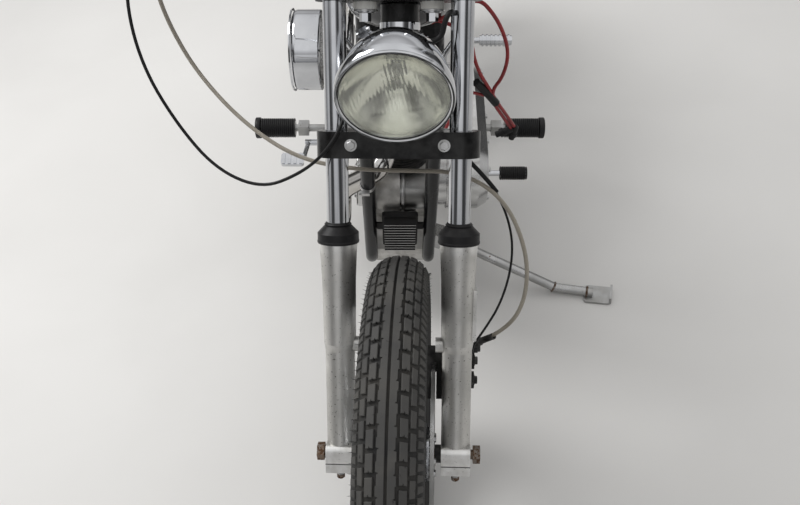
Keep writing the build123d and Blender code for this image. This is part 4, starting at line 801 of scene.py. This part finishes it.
for body, place in homes.items():
    meshes = []
    for head, rows, seed in ((hex_head, hexes[body], 7), (cap_head, caps[body], 9)):
        if rows:
            seats = [seat_at(place, origin, direction) for origin, direction, _ in rows]
            meshes.append(repeated(head, seats, zinc, [row[2] for row in rows], spin=3.1, seed=seed))
    finished(body + "_bolts", merged("bolts", meshes), zinc, body)
on_caliper = ((131, 84, 158), (127, 86, 98), (127, 86, 134))
seats = [seat_at(fork, place, leftward) for place in on_caliper]
finished("caliper_caps", repeated(hex_head, seats, black_iron, [7.0] * 3), black_iron, "steering")

# %% [markdown]
# The fork's own details: the split of the axle clamps with its studs, the lips that wipe the
# tubes and close the dust caps, the spacers on the axle, and what holds the bar risers.

# %% Fork details
stud = joined(lathe([(0, 0), (3.6, 0), (3.6, -13), (0, -13)], 8),
              lathe([(0, -5), (6.8, -5), (6.8, -11), (0, -11)], 6))
wiper = moved(lathe([(17.6, 0), (20.5, 0), (21.5, 2), (19, 5), (17.6, 5.5)], 40, closed=True),
              shift(0, 0, 388.6))
cap_lip = moved(lathe([(32.6, 0), (33.2, 1.2), (33.2, 3.0), (32.6, 4.2), (30, 4.2), (30, 0)], 48,
                      closed=True), shift(0, 0, 361.3))
at_legs = [shift(x, 0, 0) for x in (-leg_x, leg_x)]
studs = [moved(stud, leg @ shift(0, y, -25)) for leg in at_legs for y in (-20, 20)]
splits = [moved(box_shape(48.6, 58.6, 1.3), leg @ shift(0, 0, -9)) for leg in at_legs]
lips = [moved(lip, leg) for leg in at_legs for lip in (wiper, cap_lip)]
spacers = [moved(ring(8.4, 15, *span, 28), sideways) for span in ((60.4, 70.8), (-70.8, -54.2))]
piece("fork_studs", joined(*studs), fork, rusty_steel, "steering")
piece("clamp_splits", joined(*splits), fork, groove_black, "steering")
piece("wiper_lips", joined(*lips), fork, rubber, "steering")
piece("axle_spacers", joined(*spacers), fork, black_iron, "steering")
at_risers = [shift(x, 12, upper_yoke) for x in (-50, 50)]
bushes = [moved(ring(9.4, 17.6, -26.5, -15.5), riser) for riser in at_risers]
washers = [moved(ring(9.4, *sizes), riser) for riser in at_risers for sizes in (
    (19, -29.3, -27.1), (13, -31.6, -29.6))]
piece("riser_bushes", joined(*bushes), fork, white_rubber, "steering")
piece("riser_washers", joined(*washers), fork, zinc, "steering")
for side, x in (("right", -50), ("left", 50)):
    collars = [moved(ring(19.1, 20.4, 0, 3.5, 36), shift(x, 28, upper_yoke + z)) for z in (15.3, 67)]
    piece("riser_collar_" + side, joined(*collars), fork, chrome, "steering")

# %% [markdown]
# The headlamp's glass is the face of the picture. It is turned as one closed shape, and the
# points of its back are pressed into upright flutes over a clear lower band, as a mould would.

# %% Headlamp glass
lamp_place = Matrix.Translation((0, -531.05, 880)) @ rotate(7.5, "X")
glass_place = turned @ Matrix.Translation(lamp_place.translation * mm) @ rotate(7.5, "X")
glass_radius, rings, spread, slant = 78.6, 42, 220, math.radians(10)


def flute(x, z):
    """How deep the moulding is there: upright flutes that fade out in the lower band."""
    u = x * math.cos(slant) + z * math.sin(slant)
    v = z * math.cos(slant) - x * math.sin(slant)
    out = math.hypot(x, z)
    fade = min(1.0, max(0.0, (v + 26) / 6)) * min(1.0, max(0.0, (70 - out) / 3))
    low_waves = 0.25 * math.cos(2 * math.pi * u / 19) * min(1.0, max(0.0, (-v - 28) / 5))
    ridge = 0.9 * math.exp(-((out - 70) / 1.8) ** 2)
    return fade * 0.85 * abs(math.sin(math.pi * u / 6.2)) + low_waves + ridge


domed = [(glass_radius * i / rings, 6.3 * (1 - (i / rings) ** 2)) for i in range(1, rings + 1)]
front_line = [(0, -11)] + [(r, -4.9 - dome) for r, dome in domed]
back_line = [(r, -0.2 - 0.8 * dome) for r, dome in reversed(domed)] + [(0, -5.4)]
points, faces = lathe(front_line + back_line, spread)
first_back = 1 + rings * spread
points = [(x, depth - (flute(x, z) if i >= first_back else 0), z) for i, (x, z, depth) in enumerate(points)]
stands_for(piece("headlamp_glass", (points, faces), glass_place, clear_glass, "steering", 60),
           "headlamp_lens")

# %% [markdown]
# Behind the glass are the dish and the bulb with its shield, and round it the bucket, turned
# smooth so that it mirrors the room without facets. Its post stands on the lower yoke.

# %% Headlamp bucket, dish and bulb
dish = [(76.5 - 4.45 * k, 58 * (1 - ((76.5 - 4.45 * k) / 76.5) ** 2)) for k in range(15)]
bucket_line = [(0, 101.5), (16, 100.5), (30, 97), (44, 90.5), (56, 80.5), (66, 67), (73, 52), (77.6, 36),
               (80.4, 21), (81.4, 11.6), (85, 11), (85.4, 8), (85.2, -2), (83.6, -5.2), (81, -6.6),
               (79.4, -6), (79.3, -0.2)]
bucket_line += [(r, back + 1.2) for r, back in dish] + [(14, 68), (0, 68)]
post_top, post_foot = Vector((0, 48, -62)), lamp_place.inverted() @ on_fork(0, -12, 497.2)
post_run = (post_top - post_foot).normalized()
fork_up = rotate(-7.5, "X") @ rotate(-rake, "X") @ upward
collar = lathe([(0, -0.8), (13.5, -0.8), (13.5, 3), (10.5, 6), (9.2, 12), (0, 12)], 28)
post = joined(tube([post_foot + post_run * 4, post_top], 9, 24), moved(collar, aim(post_foot, fork_up)))
bucket = joined(moved(lathe(bucket_line, 120), to_back), post)
stands_for(piece("headlamp_bucket", bucket, glass_place, chrome, "steering", 40), "headlamp_shell")

dish_wall = lathe(dish + [(r, back + 0.9) for r, back in dish][::-1], 120, closed=True)
socket = lathe([(0, 57), (13.6, 57), (13.6, 67), (0, 67)], 28)
bulb = lathe([(0, 0), (9, 0), (9, 6), (7.5, 8), (7.5, 26), (5, 31), (0, 33)], 24)
shield = joined(lathe([(0, 33), (9.5, 33), (10.5, 24), (9.7, 24), (8.8, 32), (0, 32)], 24),
                lathe([(0, -2), (13, -2), (13, 2), (0, 2)], 24))
bead = lathe([(80.4, 0), (81.6, 1.6), (83.8, 1.9), (85.1, 0), (84.6, -2.4), (80.6, -2)], 96, closed=True)
gasket = lathe([(78.4, 0), (80.6, 0.6), (80.6, -3), (78.4, -3)], 96, closed=True)
screw = moved(lathe([(0, 0), (3.6, 0), (3.6, 17), (4.9, 17), (4.9, 20), (3.6, 21.4), (0, 21.4)], 12),
              shift(-10, 4, 0) @ sideways)
lug = joined(moved(box_shape(13, 11, 9), shift(0, 4, 0)), screw)
lug_place = rotate(90 - 121, "Y") @ shift(0, 48, 80)
for label, shape, place, finish, angle in (
    ("reflector", dish_wall, to_back, mirror, 60), ("socket", socket, to_back, black_iron, 35),
    ("bulb", bulb, shift(0, 58, 0) @ to_front, clear_glass, 35),
    ("shield", shield, shift(0, 58, 0) @ to_front, zinc, 35),
    ("bead", bead, shift(0, -5.6, 0) @ to_front, chrome, 35),
    ("gasket", gasket, shift(0, -5.2, 0) @ to_front, groove_black, 35),
    ("lug", lug, lug_place, chrome, 35),
):
    piece("headlamp_" + label, moved(shape, place), glass_place, finish, "steering", angle)

# %% [markdown]
# The barrels are turned again with thin tapered fins, and each is cut at the middle of the V, as
# the real castings clear each other there.

# %% Finned barrels
fin_line = [(0, 118.4), (48, 118.4)]
for level in range(127, 127 + 8 * 11, 11):
    fin_line += [(49, level - 1), (52, level + 0.2), (69, level + 1.1), (70, level + 1.9),
                 (69, level + 2.6), (52, level + 3.4), (49, level + 4.6)]
fin_line += [(48, 213.8), (0, 213.8)]
stacks = []
for side in (-1, 1):
    origin, axis, along = on_cylinder(side, 0, 0, 0)
    mesh = as_mesh("barrel", moved(lathe(fin_line, 56), aim(origin, axis)), Matrix.Identity(4))
    work = bmesh.new()
    work.from_mesh(mesh)
    cut = bmesh.ops.bisect_plane(work, geom=work.verts[:] + work.edges[:] + work.faces[:], clear_outer=True,
                                 plane_co=Vector((0, crank.y + side, 0)) * mm, plane_no=forward * side)
    bmesh.ops.holes_fill(work, edges=[e for e in cut["geom_cut"] if isinstance(e, bmesh.types.BMEdge)])
    bmesh.ops.recalc_face_normals(work, faces=work.faces)
    work.to_mesh(mesh)
    work.free()
    mesh.transform(parked)
    stacks.append(mesh)
stands_for(finished("finned_barrels", merged("barrels", stacks), black_iron, "chassis", 30),
           "cylinder_barrels")

# %% [markdown]
# Rings, clamps, covers and the generator's bright band sit where they would be bolted on. They
# are turned shapes too, each aimed along its pipe or away from its cover.

# %% Engine trims
generator = shift(0, -185, 400) @ sideways
for label, line, finish in (
    ("casting", [(40.2, -61), (42.5, -60), (44.8, -44), (44.8, -3), (43.4, -0.4), (40.2, -0.4)],
     engine_aluminium),
    ("band", [(40.2, 3.2), (45.8, 3.6), (46.4, 6), (45.8, 8.4), (40.2, 8.8)], zinc),
    ("sleeve", [(40.2, 10.4), (41.2, 11), (41.2, 52), (40.2, 53)], brushed_steel),
):
    piece("generator_" + label, moved(lathe(line, 56, closed=True), generator), parked, finish, "chassis")
bright = []
for side in (-1, 1):
    point, axis, along = on_cylinder(side, -30, 0, 244.3)
    port_ring = lathe([(21.5, 0), (31, 0), (31, 6), (27, 9), (21.5, 9)], 36, closed=True)
    bright.append(moved(port_ring, aim(point + along * side * 73, along * side)))
    for step in (-17, 17):
        foot, axis, along = on_cylinder(side, -80, step, 105)
        bright += [moved(ring(8.1, 11, 0, 5, 20), aim(foot + axis * up, axis)) for up in (22, 92, 160)]
piece("pipe_and_pushrod_rings", joined(*bright), parked, chrome, "chassis")
for name, finish, trims in (
    ("cover_trims", chrome, (
        ([(31, 0), (31, 3), (26, 7), (0, 9)], 40, (-98.3, -25, 302)),
        ([(84.3, 0), (83, 3), (80, 3), (79, 0)], 72, (-219.6, 5, 620)),
        ([(52, 0), (50, 3), (46, 3.2), (44, 1), (0, 0.6)], 56, (-222, 5, 620)),
        ([(9, 0), (9, 4), (6, 7.5), (0, 8.5)], 24, (-222, 5, 620)))),
    ("primary_trims", polished_aluminium, (
        ([(48.4, 0), (48.4, 2), (46, 3.4), (43, 2), (43, 0)], 56, (204.6, 205, 338)),
        ([(15, 0), (15, 3), (10, 4), (9, 2.6), (0, 2.6)], 32, (200, 80, 330)))),
):
    shapes = [moved(lathe(line, sides, closed=line[-1][0] > 0), aim(spot, leftward * spot[0]))
              for line, sides, spot in trims]
    piece(name, joined(*shapes), parked, finish, "chassis")

# %% [markdown]
# The regulator's fins are black between and bare on their front edges, which catch the light. Two
# small tabs hold its cover below, and a bright band closes the bottom of the head tube's paint.

# %% Regulator edges and head band
fall = math.degrees(math.atan2(146, 468))
regulator_place = shift(0, -232, 323) @ rotate(90 + fall, "X")
edges = [moved(box_shape(66.4, 1.5, 0.8), shift(0, 11.4 * number, 17.2)) for number in range(-5, 6)]
edges += [moved(box_shape(22, 4, 9), shift(x, -64, 7)) for x in (-19, 20)]
piece("regulator_edges", moved(joined(*edges), regulator_place), parked, polished_aluminium, "chassis")
band = lathe([(30.2, -6), (31.4, -5.4), (31.4, 5.4), (30.2, 6)], 48, closed=True)
band_place = aim(on_fork(0, stem_offset, 692), rotate(-rake, "X") @ upward)
piece("head_band", moved(band, band_place), parked, chrome, "chassis")

# %% [markdown]
# Welds. Where one frame tube meets another the real frame has a rippled bead. Each bead is a thin
# ring whose thickness ripples as the welder's puddles did.

# %% Weld beads


def on_floor(x, y, height):
    """A point above the floor, measured on it from the tyres, on the upright machine."""
    return rotate(-lean, "Y") @ Vector((x, y, height))


def weld_beads(name, body, finish, *rows):
    """Rippled rings round tubes' ends: where, along which tube, how wide and how thick."""
    ripple = [0.86 + 0.14 * (k % 2) for k in range(48)]
    beads = []
    for origin, direction, radius, thickness in rows:
        line = moved(([(x, y, 0) for x, y in around(48, radius)], []), aim(origin, direction))[0]
        beads.append(tube(line, [thickness * share for share in ripple], 6, closed=True))
    piece(name, joined(*beads), parked, finish, body, 80)


spine_end = Vector((0, 262, 694))
spine_start = on_fork(0, stem_offset, upper_yoke - 55)
spine_run = (spine_end - spine_start).normalized()
beads = [(spine_start + spine_run * 33, spine_run, 19.4, 3.6), (spine_end, spine_run, 17.5, 3.2),
         ((0, 299, 155), upward, 15.2, 3.2), ((0, 290, 622), upward, 15.4, 2.4)]
for side in (-1, 1):
    beads += [((side * 76, 300, 137), (side, 0, 0), 12.2, 3.2),
              ((side * 104, 498.4, 560.1), (side, 0, 0), 9.2, 2.6),
              ((side * 119, 740, 330), (0, 0.06, -1), 12, 3), ((side * 119, 736, 300), (0, 1, 0.4), 14, 3),
              ((side * 25, -386, 812), (side * 0.17, 0.35, -0.9), 14.4, 3)]
weld_beads("frame_welds", "chassis", black_paint, *beads)
stand_pivot, stand_bend, stand_tip = Vector((120, -85, 150)), on_floor(382, -170, 17), on_floor(470, -192, 11)
foot_run, bar_run = (stand_tip - stand_bend).normalized(), (stand_bend - stand_pivot).normalized()
weld_beads("stand_welds", "side_stand", rusty_steel, (stand_bend - bar_run * 3, bar_run, 11.2, 2.6),
           (stand_tip - foot_run * 14, foot_run, 11.2, 3), (stand_pivot + bar_run * 19, bar_run, 11.4, 3))
pin_run = Vector((0.36, 0, 0.933)).normalized()
nut = lathe([(0, 0), (11, 0), (11, 7), (9.6, 8), (0, 8)], 6)
head = lathe([(0, 0), (11, 0), (11, 5), (0, 5)], 20)
half_pin = 24.8
pin_ends = [moved(end, aim(stand_pivot + run * half_pin, run))
            for end, run in ((nut, pin_run), (head, -pin_run))]
piece("stand_pin_nuts", joined(*pin_ends), parked, zinc, "chassis")

# %% [markdown]
# The drive chain's pins. Each link has its two riveted pins, which stand out on both sides. They
# are spaced along the line round both sprockets, as the links are.

# %% Chain pins
pitch_radii = [15.875 / 2 / math.sin(math.pi / teeth) for teeth in (21, 48)]
pins = belt_points(sprocket, pitch_radii[0], Vector((rear_axle_y, rear_radius)), pitch_radii[1], 108)
pin = lathe([(0, -11.4), (2.4, -11.4), (2.6, -10.6), (2.6, 10.6), (2.4, 11.4), (0, 11.4)], 8)
seats = [seat_at(parked, (90, y, z), leftward) for y, z in pins]
finished("chain_pins", repeated(pin, seats, brushed_steel), brushed_steel, "chassis")

# %% [markdown]
# Grips and rubbers. The real ones are moulded with close rings: the grips thicker at the inner
# flange, the pegs with a round flange outside. One profile with steps, turned, makes each.

# %% Grips and peg rubbers
bar_rise, bar_end = Vector((262, -328, 1212)), Vector((400, -199, 1199))
grip_run = (bar_end - bar_rise).normalized()
grip_line = [(12.9, 0.3), (20.8, 0.3), (20.8, 4), (18.4, 6)]
for k in range(17):
    start = 7 + k * 6.3
    grip_line += [(16.2, start), (17.6, start + 1.2), (17.6, start + 3.8), (16.2, start + 5)]
grip_line += [(16.6, 115), (16.0, 117.6), (12.9, 117.6)]
grips = []
for side in (-1, 1):
    other = Vector((side, 1, 1))
    grip_place = aim((bar_end - grip_run * 118) * other, grip_run * other)
    grips.append(moved(lathe(grip_line, 36, closed=True), grip_place))
stands_for(piece("ribbed_grips", joined(*grips), turned, rubber, "steering", 50), "handlebar_grips")


def ribbed_sleeve(start, end, inner, outer, groove, pitch=5.0):
    """A sleeve with ribs, open on its inside."""
    line, place = [(inner, start)], start
    while place < end - pitch:
        line += [(outer - groove, place + 0.2), (outer, place + 0.9), (outer, place + 0.6 * pitch),
                 (outer - groove, place + 0.8 * pitch)]
        place += pitch
    return lathe(line + [(inner, end)], 28, closed=True)


flange = lathe([(0, 347.6), (25.4, 347.9), (26.2, 349.4), (26.2, 358.8), (24.8, 360.3), (0, 360.7)], 28)
tip = lathe([(0, 296), (14.6, 296), (15.4, 297), (14.8, 298.4), (0, 298.8)], 28)
peg = joined(ribbed_sleeve(262, 348, 17.4, 24.0, 2.8), flange)
gear = joined(ribbed_sleeve(235, 296, 13.4, 16.2, 2.0), tip)
sleeves = [moved(peg, shift(0, 160, 300) @ rotate(side * 90, "Y")) for side in (-1, 1)]
sleeves.append(moved(gear, shift(0, -14, 300) @ sideways))
piece("peg_rubbers", joined(*sleeves), parked, rubber, "chassis", 50)

# %% [markdown]
# Cords. Each follows the smooth line of a NURBS spline whose control points are its route's
# points, so its bends are as even as a real hose's. Rounded corners would look like bent pipe.

# %% Hoses and cables


def cord_line(points, resolution=7):
    """The smooth line of a cord: a NURBS spline whose control points are its route's points."""
    curve = bpy.data.curves.new("route", "CURVE")
    curve.dimensions = "3D"
    curve.resolution_u = resolution
    spline = curve.splines.new("NURBS")
    spline.points.add(len(points) - 1)
    for control, point in zip(spline.points, points):
        control.co = (*point, 1)
    spline.order_u = 3
    spline.use_endpoint_u = True
    holder = bpy.data.objects.new("route", curve)
    line = [vertex.co.copy() for vertex in bpy.data.meshes.new_from_object(holder).vertices]
    bpy.data.objects.remove(holder)
    return line


def length_of(line):
    return sum((b - a).length for a, b in zip(line, line[1:]))


def hose(name, route, radius, material, sides, node):
    """A hose with its own UV, eight wires to a turn: once round it, and along it in its own widths."""
    path = cord_line(route)
    mesh = as_mesh(name, tube(path, radius, sides, caps=False), turned)
    uv = mesh.uv_layers.new(name="UVMap").data
    run = [length_of(path[:i + 1]) for i in range(len(path))]
    for polygon in mesh.polygons:
        seam = {v % sides for v in polygon.vertices} == {0, sides - 1}
        for loop in polygon.loop_indices:
            row, column = divmod(mesh.loops[loop].vertex_index, sides)
            if seam and column == 0:
                column = sides
            uv[loop].uv = (column / sides * 8, run[row] / (2 * math.pi * radius) * 8)
    stands_for(finished(name, mesh, material, "steering", 80), node)
    print(name, "is", round(run[-1] / 1000, 3), "m long")


perch = bar_end - grip_run * 144
lever_root, boss_seat = perch + grip_run * 10 + Vector((0, -34, -14)), perch + grip_run * 11
hose_top, hose_foot = Vector((-lever_root.x, lever_root.y, lever_root.z - 20.1)), on_fork(131, 84, 167.6)
hose_neck, hose_last = Vector((-lever_root.x, lever_root.y, lever_root.z - 50)), Vector((172, -632, 486))
hose_route = [
    hose_top, hose_neck, (-318, -350, 1090), (-346, -358, 1034), (-371, -343, 960), (-372, -325, 874),
    (-337, -346, 795), (-263, -398, 735), (-172, -451, 704), (-80, -478, 703), (10, -480, 702),
    (98, -482, 703), (168, -512, 672), (206, -566, 604), (204, -614, 540), hose_last, hose_foot,
]
hose("braided_brake_hose", hose_route, 3.4, braid, 16, "brake_hose")
crimp = joined(lathe([(3.6, -22), (5.6, -22), (5.8, 16), (3.6, 16)], 20, closed=True),
               ring(3.6, 7.2, 14, 22, 6))
hose_ends = [moved(crimp, aim(hose_neck.lerp(hose_top, 0.25), upward)),
             moved(crimp, aim(hose_last.lerp(hose_foot, 0.66), hose_foot - hose_last))]
piece("hose_fittings", joined(*hose_ends), turned, black_iron, "steering")
throttle_top = Vector((-boss_seat.x, boss_seat.y, boss_seat.z - 28.1))
throttle_route = [
    throttle_top, throttle_top - upward * 33.9, (-354, -291, 1085), (-394, -324, 1020), (-408, -377, 945),
    (-390, -428, 862), (-346, -465, 781), (-290, -498, 718), (-217, -519, 696), (-150, -522, 731),
    on_fork(-104, -44, 508), on_fork(-78, -40, 552), on_fork(-72, -10, 600), on_fork(-60, 20, 636),
]
hose("sheathed_throttle_cable", throttle_route, 2.6, black_sheath, 12, "throttle_cable")
ferrule = joined(ring(2.5, 4.4, 0, 18, 14), ring(2.5, 6.2, 12, 17, 6))
ferrule_place = aim(throttle_top - upward * 20, upward)
piece("cable_ferrules", moved(ferrule, ferrule_place), turned, zinc, "steering")

# %% [markdown]
# Loose wiring. A second sleeved cable goes down to the caliper's side, and the lamp's own cable
# runs down beside the head. Red plug leads come from under the tank, loop out past the fork and
# are taped into one bunch that hangs with its rubber caps.

# %% Wiring


def wire(name, route, radius, material, body):
    """A cord along its route. A mark of a pixel and a depth becomes its point."""
    return piece(name, tube(cord_line(route), radius, 12), parked, material, body, 60)


def marks(*places):
    return [seen(*place) for place in places]


sleeve_marks = marks((466, 158, -487), (483, 174, -495))
wire("second_cable", sleeve_marks + marks(
    (498, 194, -508), (510, 224, -530), (513, 252, -552), (508, 282, -578), (498, 308, -600),
    (486, 327, -622), (476, 341, -636)) + [on_fork(121, 40, 172), on_fork(119.8, 72, 118)],
    2.0, black_sheath, "steering")
wire("cable_sleeve", sleeve_marks + marks((497, 192, -507)), 3.6, black_sheath, "steering")
wire("lamp_cable", [on_fork(92, 30, 700)] + marks((452, 8, -410), (445, 20, -420), (442, 38, -428)) + [
    Vector((38, -432, 905)), Vector((18, -424, 890))], 4.0, black_sheath, "steering")
wire("lead_tie", [Vector((72, -292, 610))] + marks((462, 92, -210), (472, 92, -178), (484, 95, -170)), 3.2,
     red_lead, "chassis")
tape = wire("bunch_tape", marks((476, 82, -178), (486, 91, -171), (496, 103, -161)), 8.2, black_sheath,
            "chassis")
bunch = marks((496, 104, -160), (505, 116, -146), (513, 128, -128))
plug_cap = lathe([(0, -6), (5, -5), (7.5, 0), (7.5, 16), (9.5, 17), (9.5, 24), (6.5, 25), (6.5, 34),
                  (0, 34)], 20)
lead_starts = {
    "front": [Vector((52, -232, 822)), Vector((96, -226, 836))] + marks(
        (478, -4, -214), (497, 18, -206), (507, 42, -196), (508, 60, -188), (502, 78, -178), (492, 90, -170)),
    "rear": [Vector((60, -205, 812)), Vector((100, -204, 800))] + marks(
        (472, 42, -194), (474, 58, -187), (480, 74, -180), (489, 88, -172)),
}
for label, side in (("front", -3.3), ("rear", 3.3)):
    aside = Vector((side, 0, 0.6 * side))
    route = lead_starts[label] + [point + aside for point in bunch]
    lead = wire("plug_lead_" + label, route, 3.5, red_lead, "chassis")
    cap_place = aim(bunch[-1] + aside * 1.2, (-0.9 + 0.24 * side, 0.2, -1))
    cap = piece("plug_cap_" + label, moved(plug_cap, cap_place), parked, rubber, "chassis")
    line = [parked @ (point * mm) for point in cord_line(route)]
    tuple(line[0])
    length_of(line)
    [tuple(point) for point in line]
    print("plug_lead_" + label, "is", round(length_of(line), 3), "m long")
clamp = joined(lathe([(14.2, -5), (15.4, -5), (15.4, 5), (14.2, 5)], 40, closed=True),
               moved(box_shape(16, 8, 9), shift(4, -18.5, 0)),
               moved(lathe([(0, 0), (4.2, 0), (4.2, 5), (0, 5)], 6), aim((12, -18.5, 0), leftward)))
clamp_place = aim((-63.7, -271.5, 489.3), (-3, 146, -468))
piece("rail_clamp", moved(clamp, clamp_place), parked, zinc, "chassis")

# %% [markdown]
# The fender's rolled edges, the tank's filler cap with its knurls, the oil tank's cap and straps,
# and the ringed lens of the tail lamp in its rim.

# %% Bodywork details
arc = [math.radians(12 + 138 * k / 60) for k in range(61)]
rolled = [tube([(x, rear_axle_y + 314 * math.cos(a), rear_radius + 314 * math.sin(a)) for a in arc], 2.8, 8)
          for x in (-72.5, 72.5)]
piece("fender_beads", joined(*rolled), parked, black_paint, "chassis", 60)
tank_cap = lathe([(33, -6), (33, 5), (31, 9), (26, 12), (0, 13.5)], 40)
knurls = [moved(box_shape(2.2, 2.6, 9), aim((x, y, 1.5), upward, math.atan2(y, x)))
          for x, y in around(30, 32.8)]
cap_place = aim((0, -118, 899), (0, 0.15, 1))
piece("tank_cap", moved(joined(tank_cap, *knurls), cap_place), parked, chrome, "chassis")


def squared(value):
    """A cosine or sine pushed out to the corners of a strap round a box."""
    return math.copysign(min(1, abs(value) * 1.16), value)


straps = [tube([(112.4 * squared(c), 368 + 48.4 * squared(s), z) for c, s in around(64)], 1.6, 4, closed=True)
          for z in (462, 540)]
oil_cap = moved(lathe([(21, 0), (21, 8), (18, 11), (0, 12)], 32), aim((62, 352, 590), upward))
piece("oil_tank_trims", joined(oil_cap, *straps), parked, chrome, "chassis")
tail_angle, tail_radius = math.radians(34), 352.3
tail = Vector((0, rear_axle_y + tail_radius * math.cos(tail_angle),
               rear_radius + tail_radius * math.sin(tail_angle) + 4))
lens_line = [(0, 0.2), (36, 0.2), (36, 6)]
for r in range(34, 4, -5):
    height = 9.5 + 3.6 * (1 - (r / 34) ** 2)
    lens_line += [(r, height), (r - 2.2, height + 0.9), (r - 3.4, height - 0.3)]
lens = moved(lathe(lens_line + [(0, 13.4)], 48), aim(tail + backward * 54.3, backward))
stands_for(piece("tail_lens_ringed", lens, parked, red_lens, "chassis"), "tail_lamp_lens")
rim = lathe([(36.2, 0), (39.4, 0), (39.4, 5), (37.6, 7), (36.2, 6)], 48, closed=True)
piece("tail_lamp_rim", moved(rim, aim(tail + backward * 52, backward)), parked, chrome, "chassis")

# %% [markdown]
# The seat. A stuffed cover over foam: a narrow nose between the rider's legs, a wide low part, and
# a step up to the passenger's pad. The pad is drawn from cross-sections and made even by a voxel
# remesh, so that cloth can swell all of it alike.

# %% The seat's pad
stations = np.array([142, 165, 190, 235, 280, 330, 385, 430, 470, 520, 560, 585, 596])
tops = np.array([774, 770, 762, 751, 748, 758, 782, 804, 813, 817, 815, 802, 788])
widths = np.array([38, 66, 84, 104, 113, 114, 110, 106, 104, 100, 92, 74, 48])
bottoms = np.interp(stations, [142, 262, 405, 590, 600], [748, 715.5, 725.5, 753.5, 756])
sides, count = 40, 60


def seat_section(y):
    """One cross-section of the pad: flat below, crowned above, with sides that pull in."""
    top, width, low = (np.interp(y, stations, row) for row in (tops, widths, bottoms))
    section = []
    for c, s in around(sides):
        x = width * math.copysign(abs(c) ** 0.55, c)
        z = low + (top - low) * (0.5 + 0.5 * math.copysign(abs(s) ** 0.6, s))
        section.append((x, y, z - ((top - low) * 0.10 * (abs(x) / width) ** 3 if s > 0 else 0)))
    return section


points = [p for y in np.linspace(143, 595, count) for p in seat_section(y)]
drawn = as_mesh("seat_pad", (points, skin(count, sides, caps=True)), Matrix.Identity(4))
pad = bpy.data.objects.new("seat_pad", drawn)
scene.collection.objects.link(pad)
remesh = pad.modifiers.new("Remesh", "REMESH")
remesh.mode = "VOXEL"
remesh.voxel_size = 0.006
mesh = evaluated(pad)
pad.modifiers.clear()
pad.data = mesh
print("the pad has", len(mesh.vertices), "points")

# %% [markdown]
# The cover is blown up a little as cloth, so it swells as stuffing would make it. Its swell is
# capped, its underside stays flat on the pan, and the sewn channels are pressed in last.

# %% The seat's cover
before = np.array([v.co for v in mesh.vertices])
after = before
cloth = pad.modifiers.new("Cloth", "CLOTH")
cloth.settings.use_pressure = True
cloth.settings.uniform_pressure_force = 4
cloth.settings.effector_weights.gravity = 0
cloth.settings.mass = 0.3
for number in range(1, 21):
    scene.frame_set(number)
after = np.array([v.co for v in evaluated(pad).vertices])
pad.modifiers.clear()
scene.frame_set(1)
cap = 0.007
step = after - before
swell = np.linalg.norm(step, axis=1, keepdims=True)
step *= np.minimum(1.0, cap / np.maximum(swell, 1e-9))
low = np.interp(before[:, 1] * 1000, stations, bottoms) * mm
placed = before + step * np.clip((before[:, 2] - low - 0.004) / 0.012, 0, 1)[:, None]
y = placed[:, 1] * 1000
rise = np.clip((placed[:, 2] - low) / 0.03, 0, 1)
for channel in [*range(205, 380, 32), *range(430, 580, 30)]:
    placed[:, 2] -= 0.0040 * rise * np.exp(-((y - channel) / 4.5) ** 2)
mesh.vertices.foreach_set("co", placed.astype(np.float32).ravel())
mesh.update()
smooth = pad.modifiers.new("Subdivision", "SUBSURF")
smooth.levels = smooth.render_levels = 1
mesh = evaluated(pad)
bpy.data.objects.remove(pad)
mesh.transform(parked)
seat_piece = finished("seat_pad", mesh, leather, "chassis", 80)
stands_for(seat_piece, "seat")
print("the cover swells by", round(float(swell.max()) * 1000, 1), "mm at most, before its cap of 7")
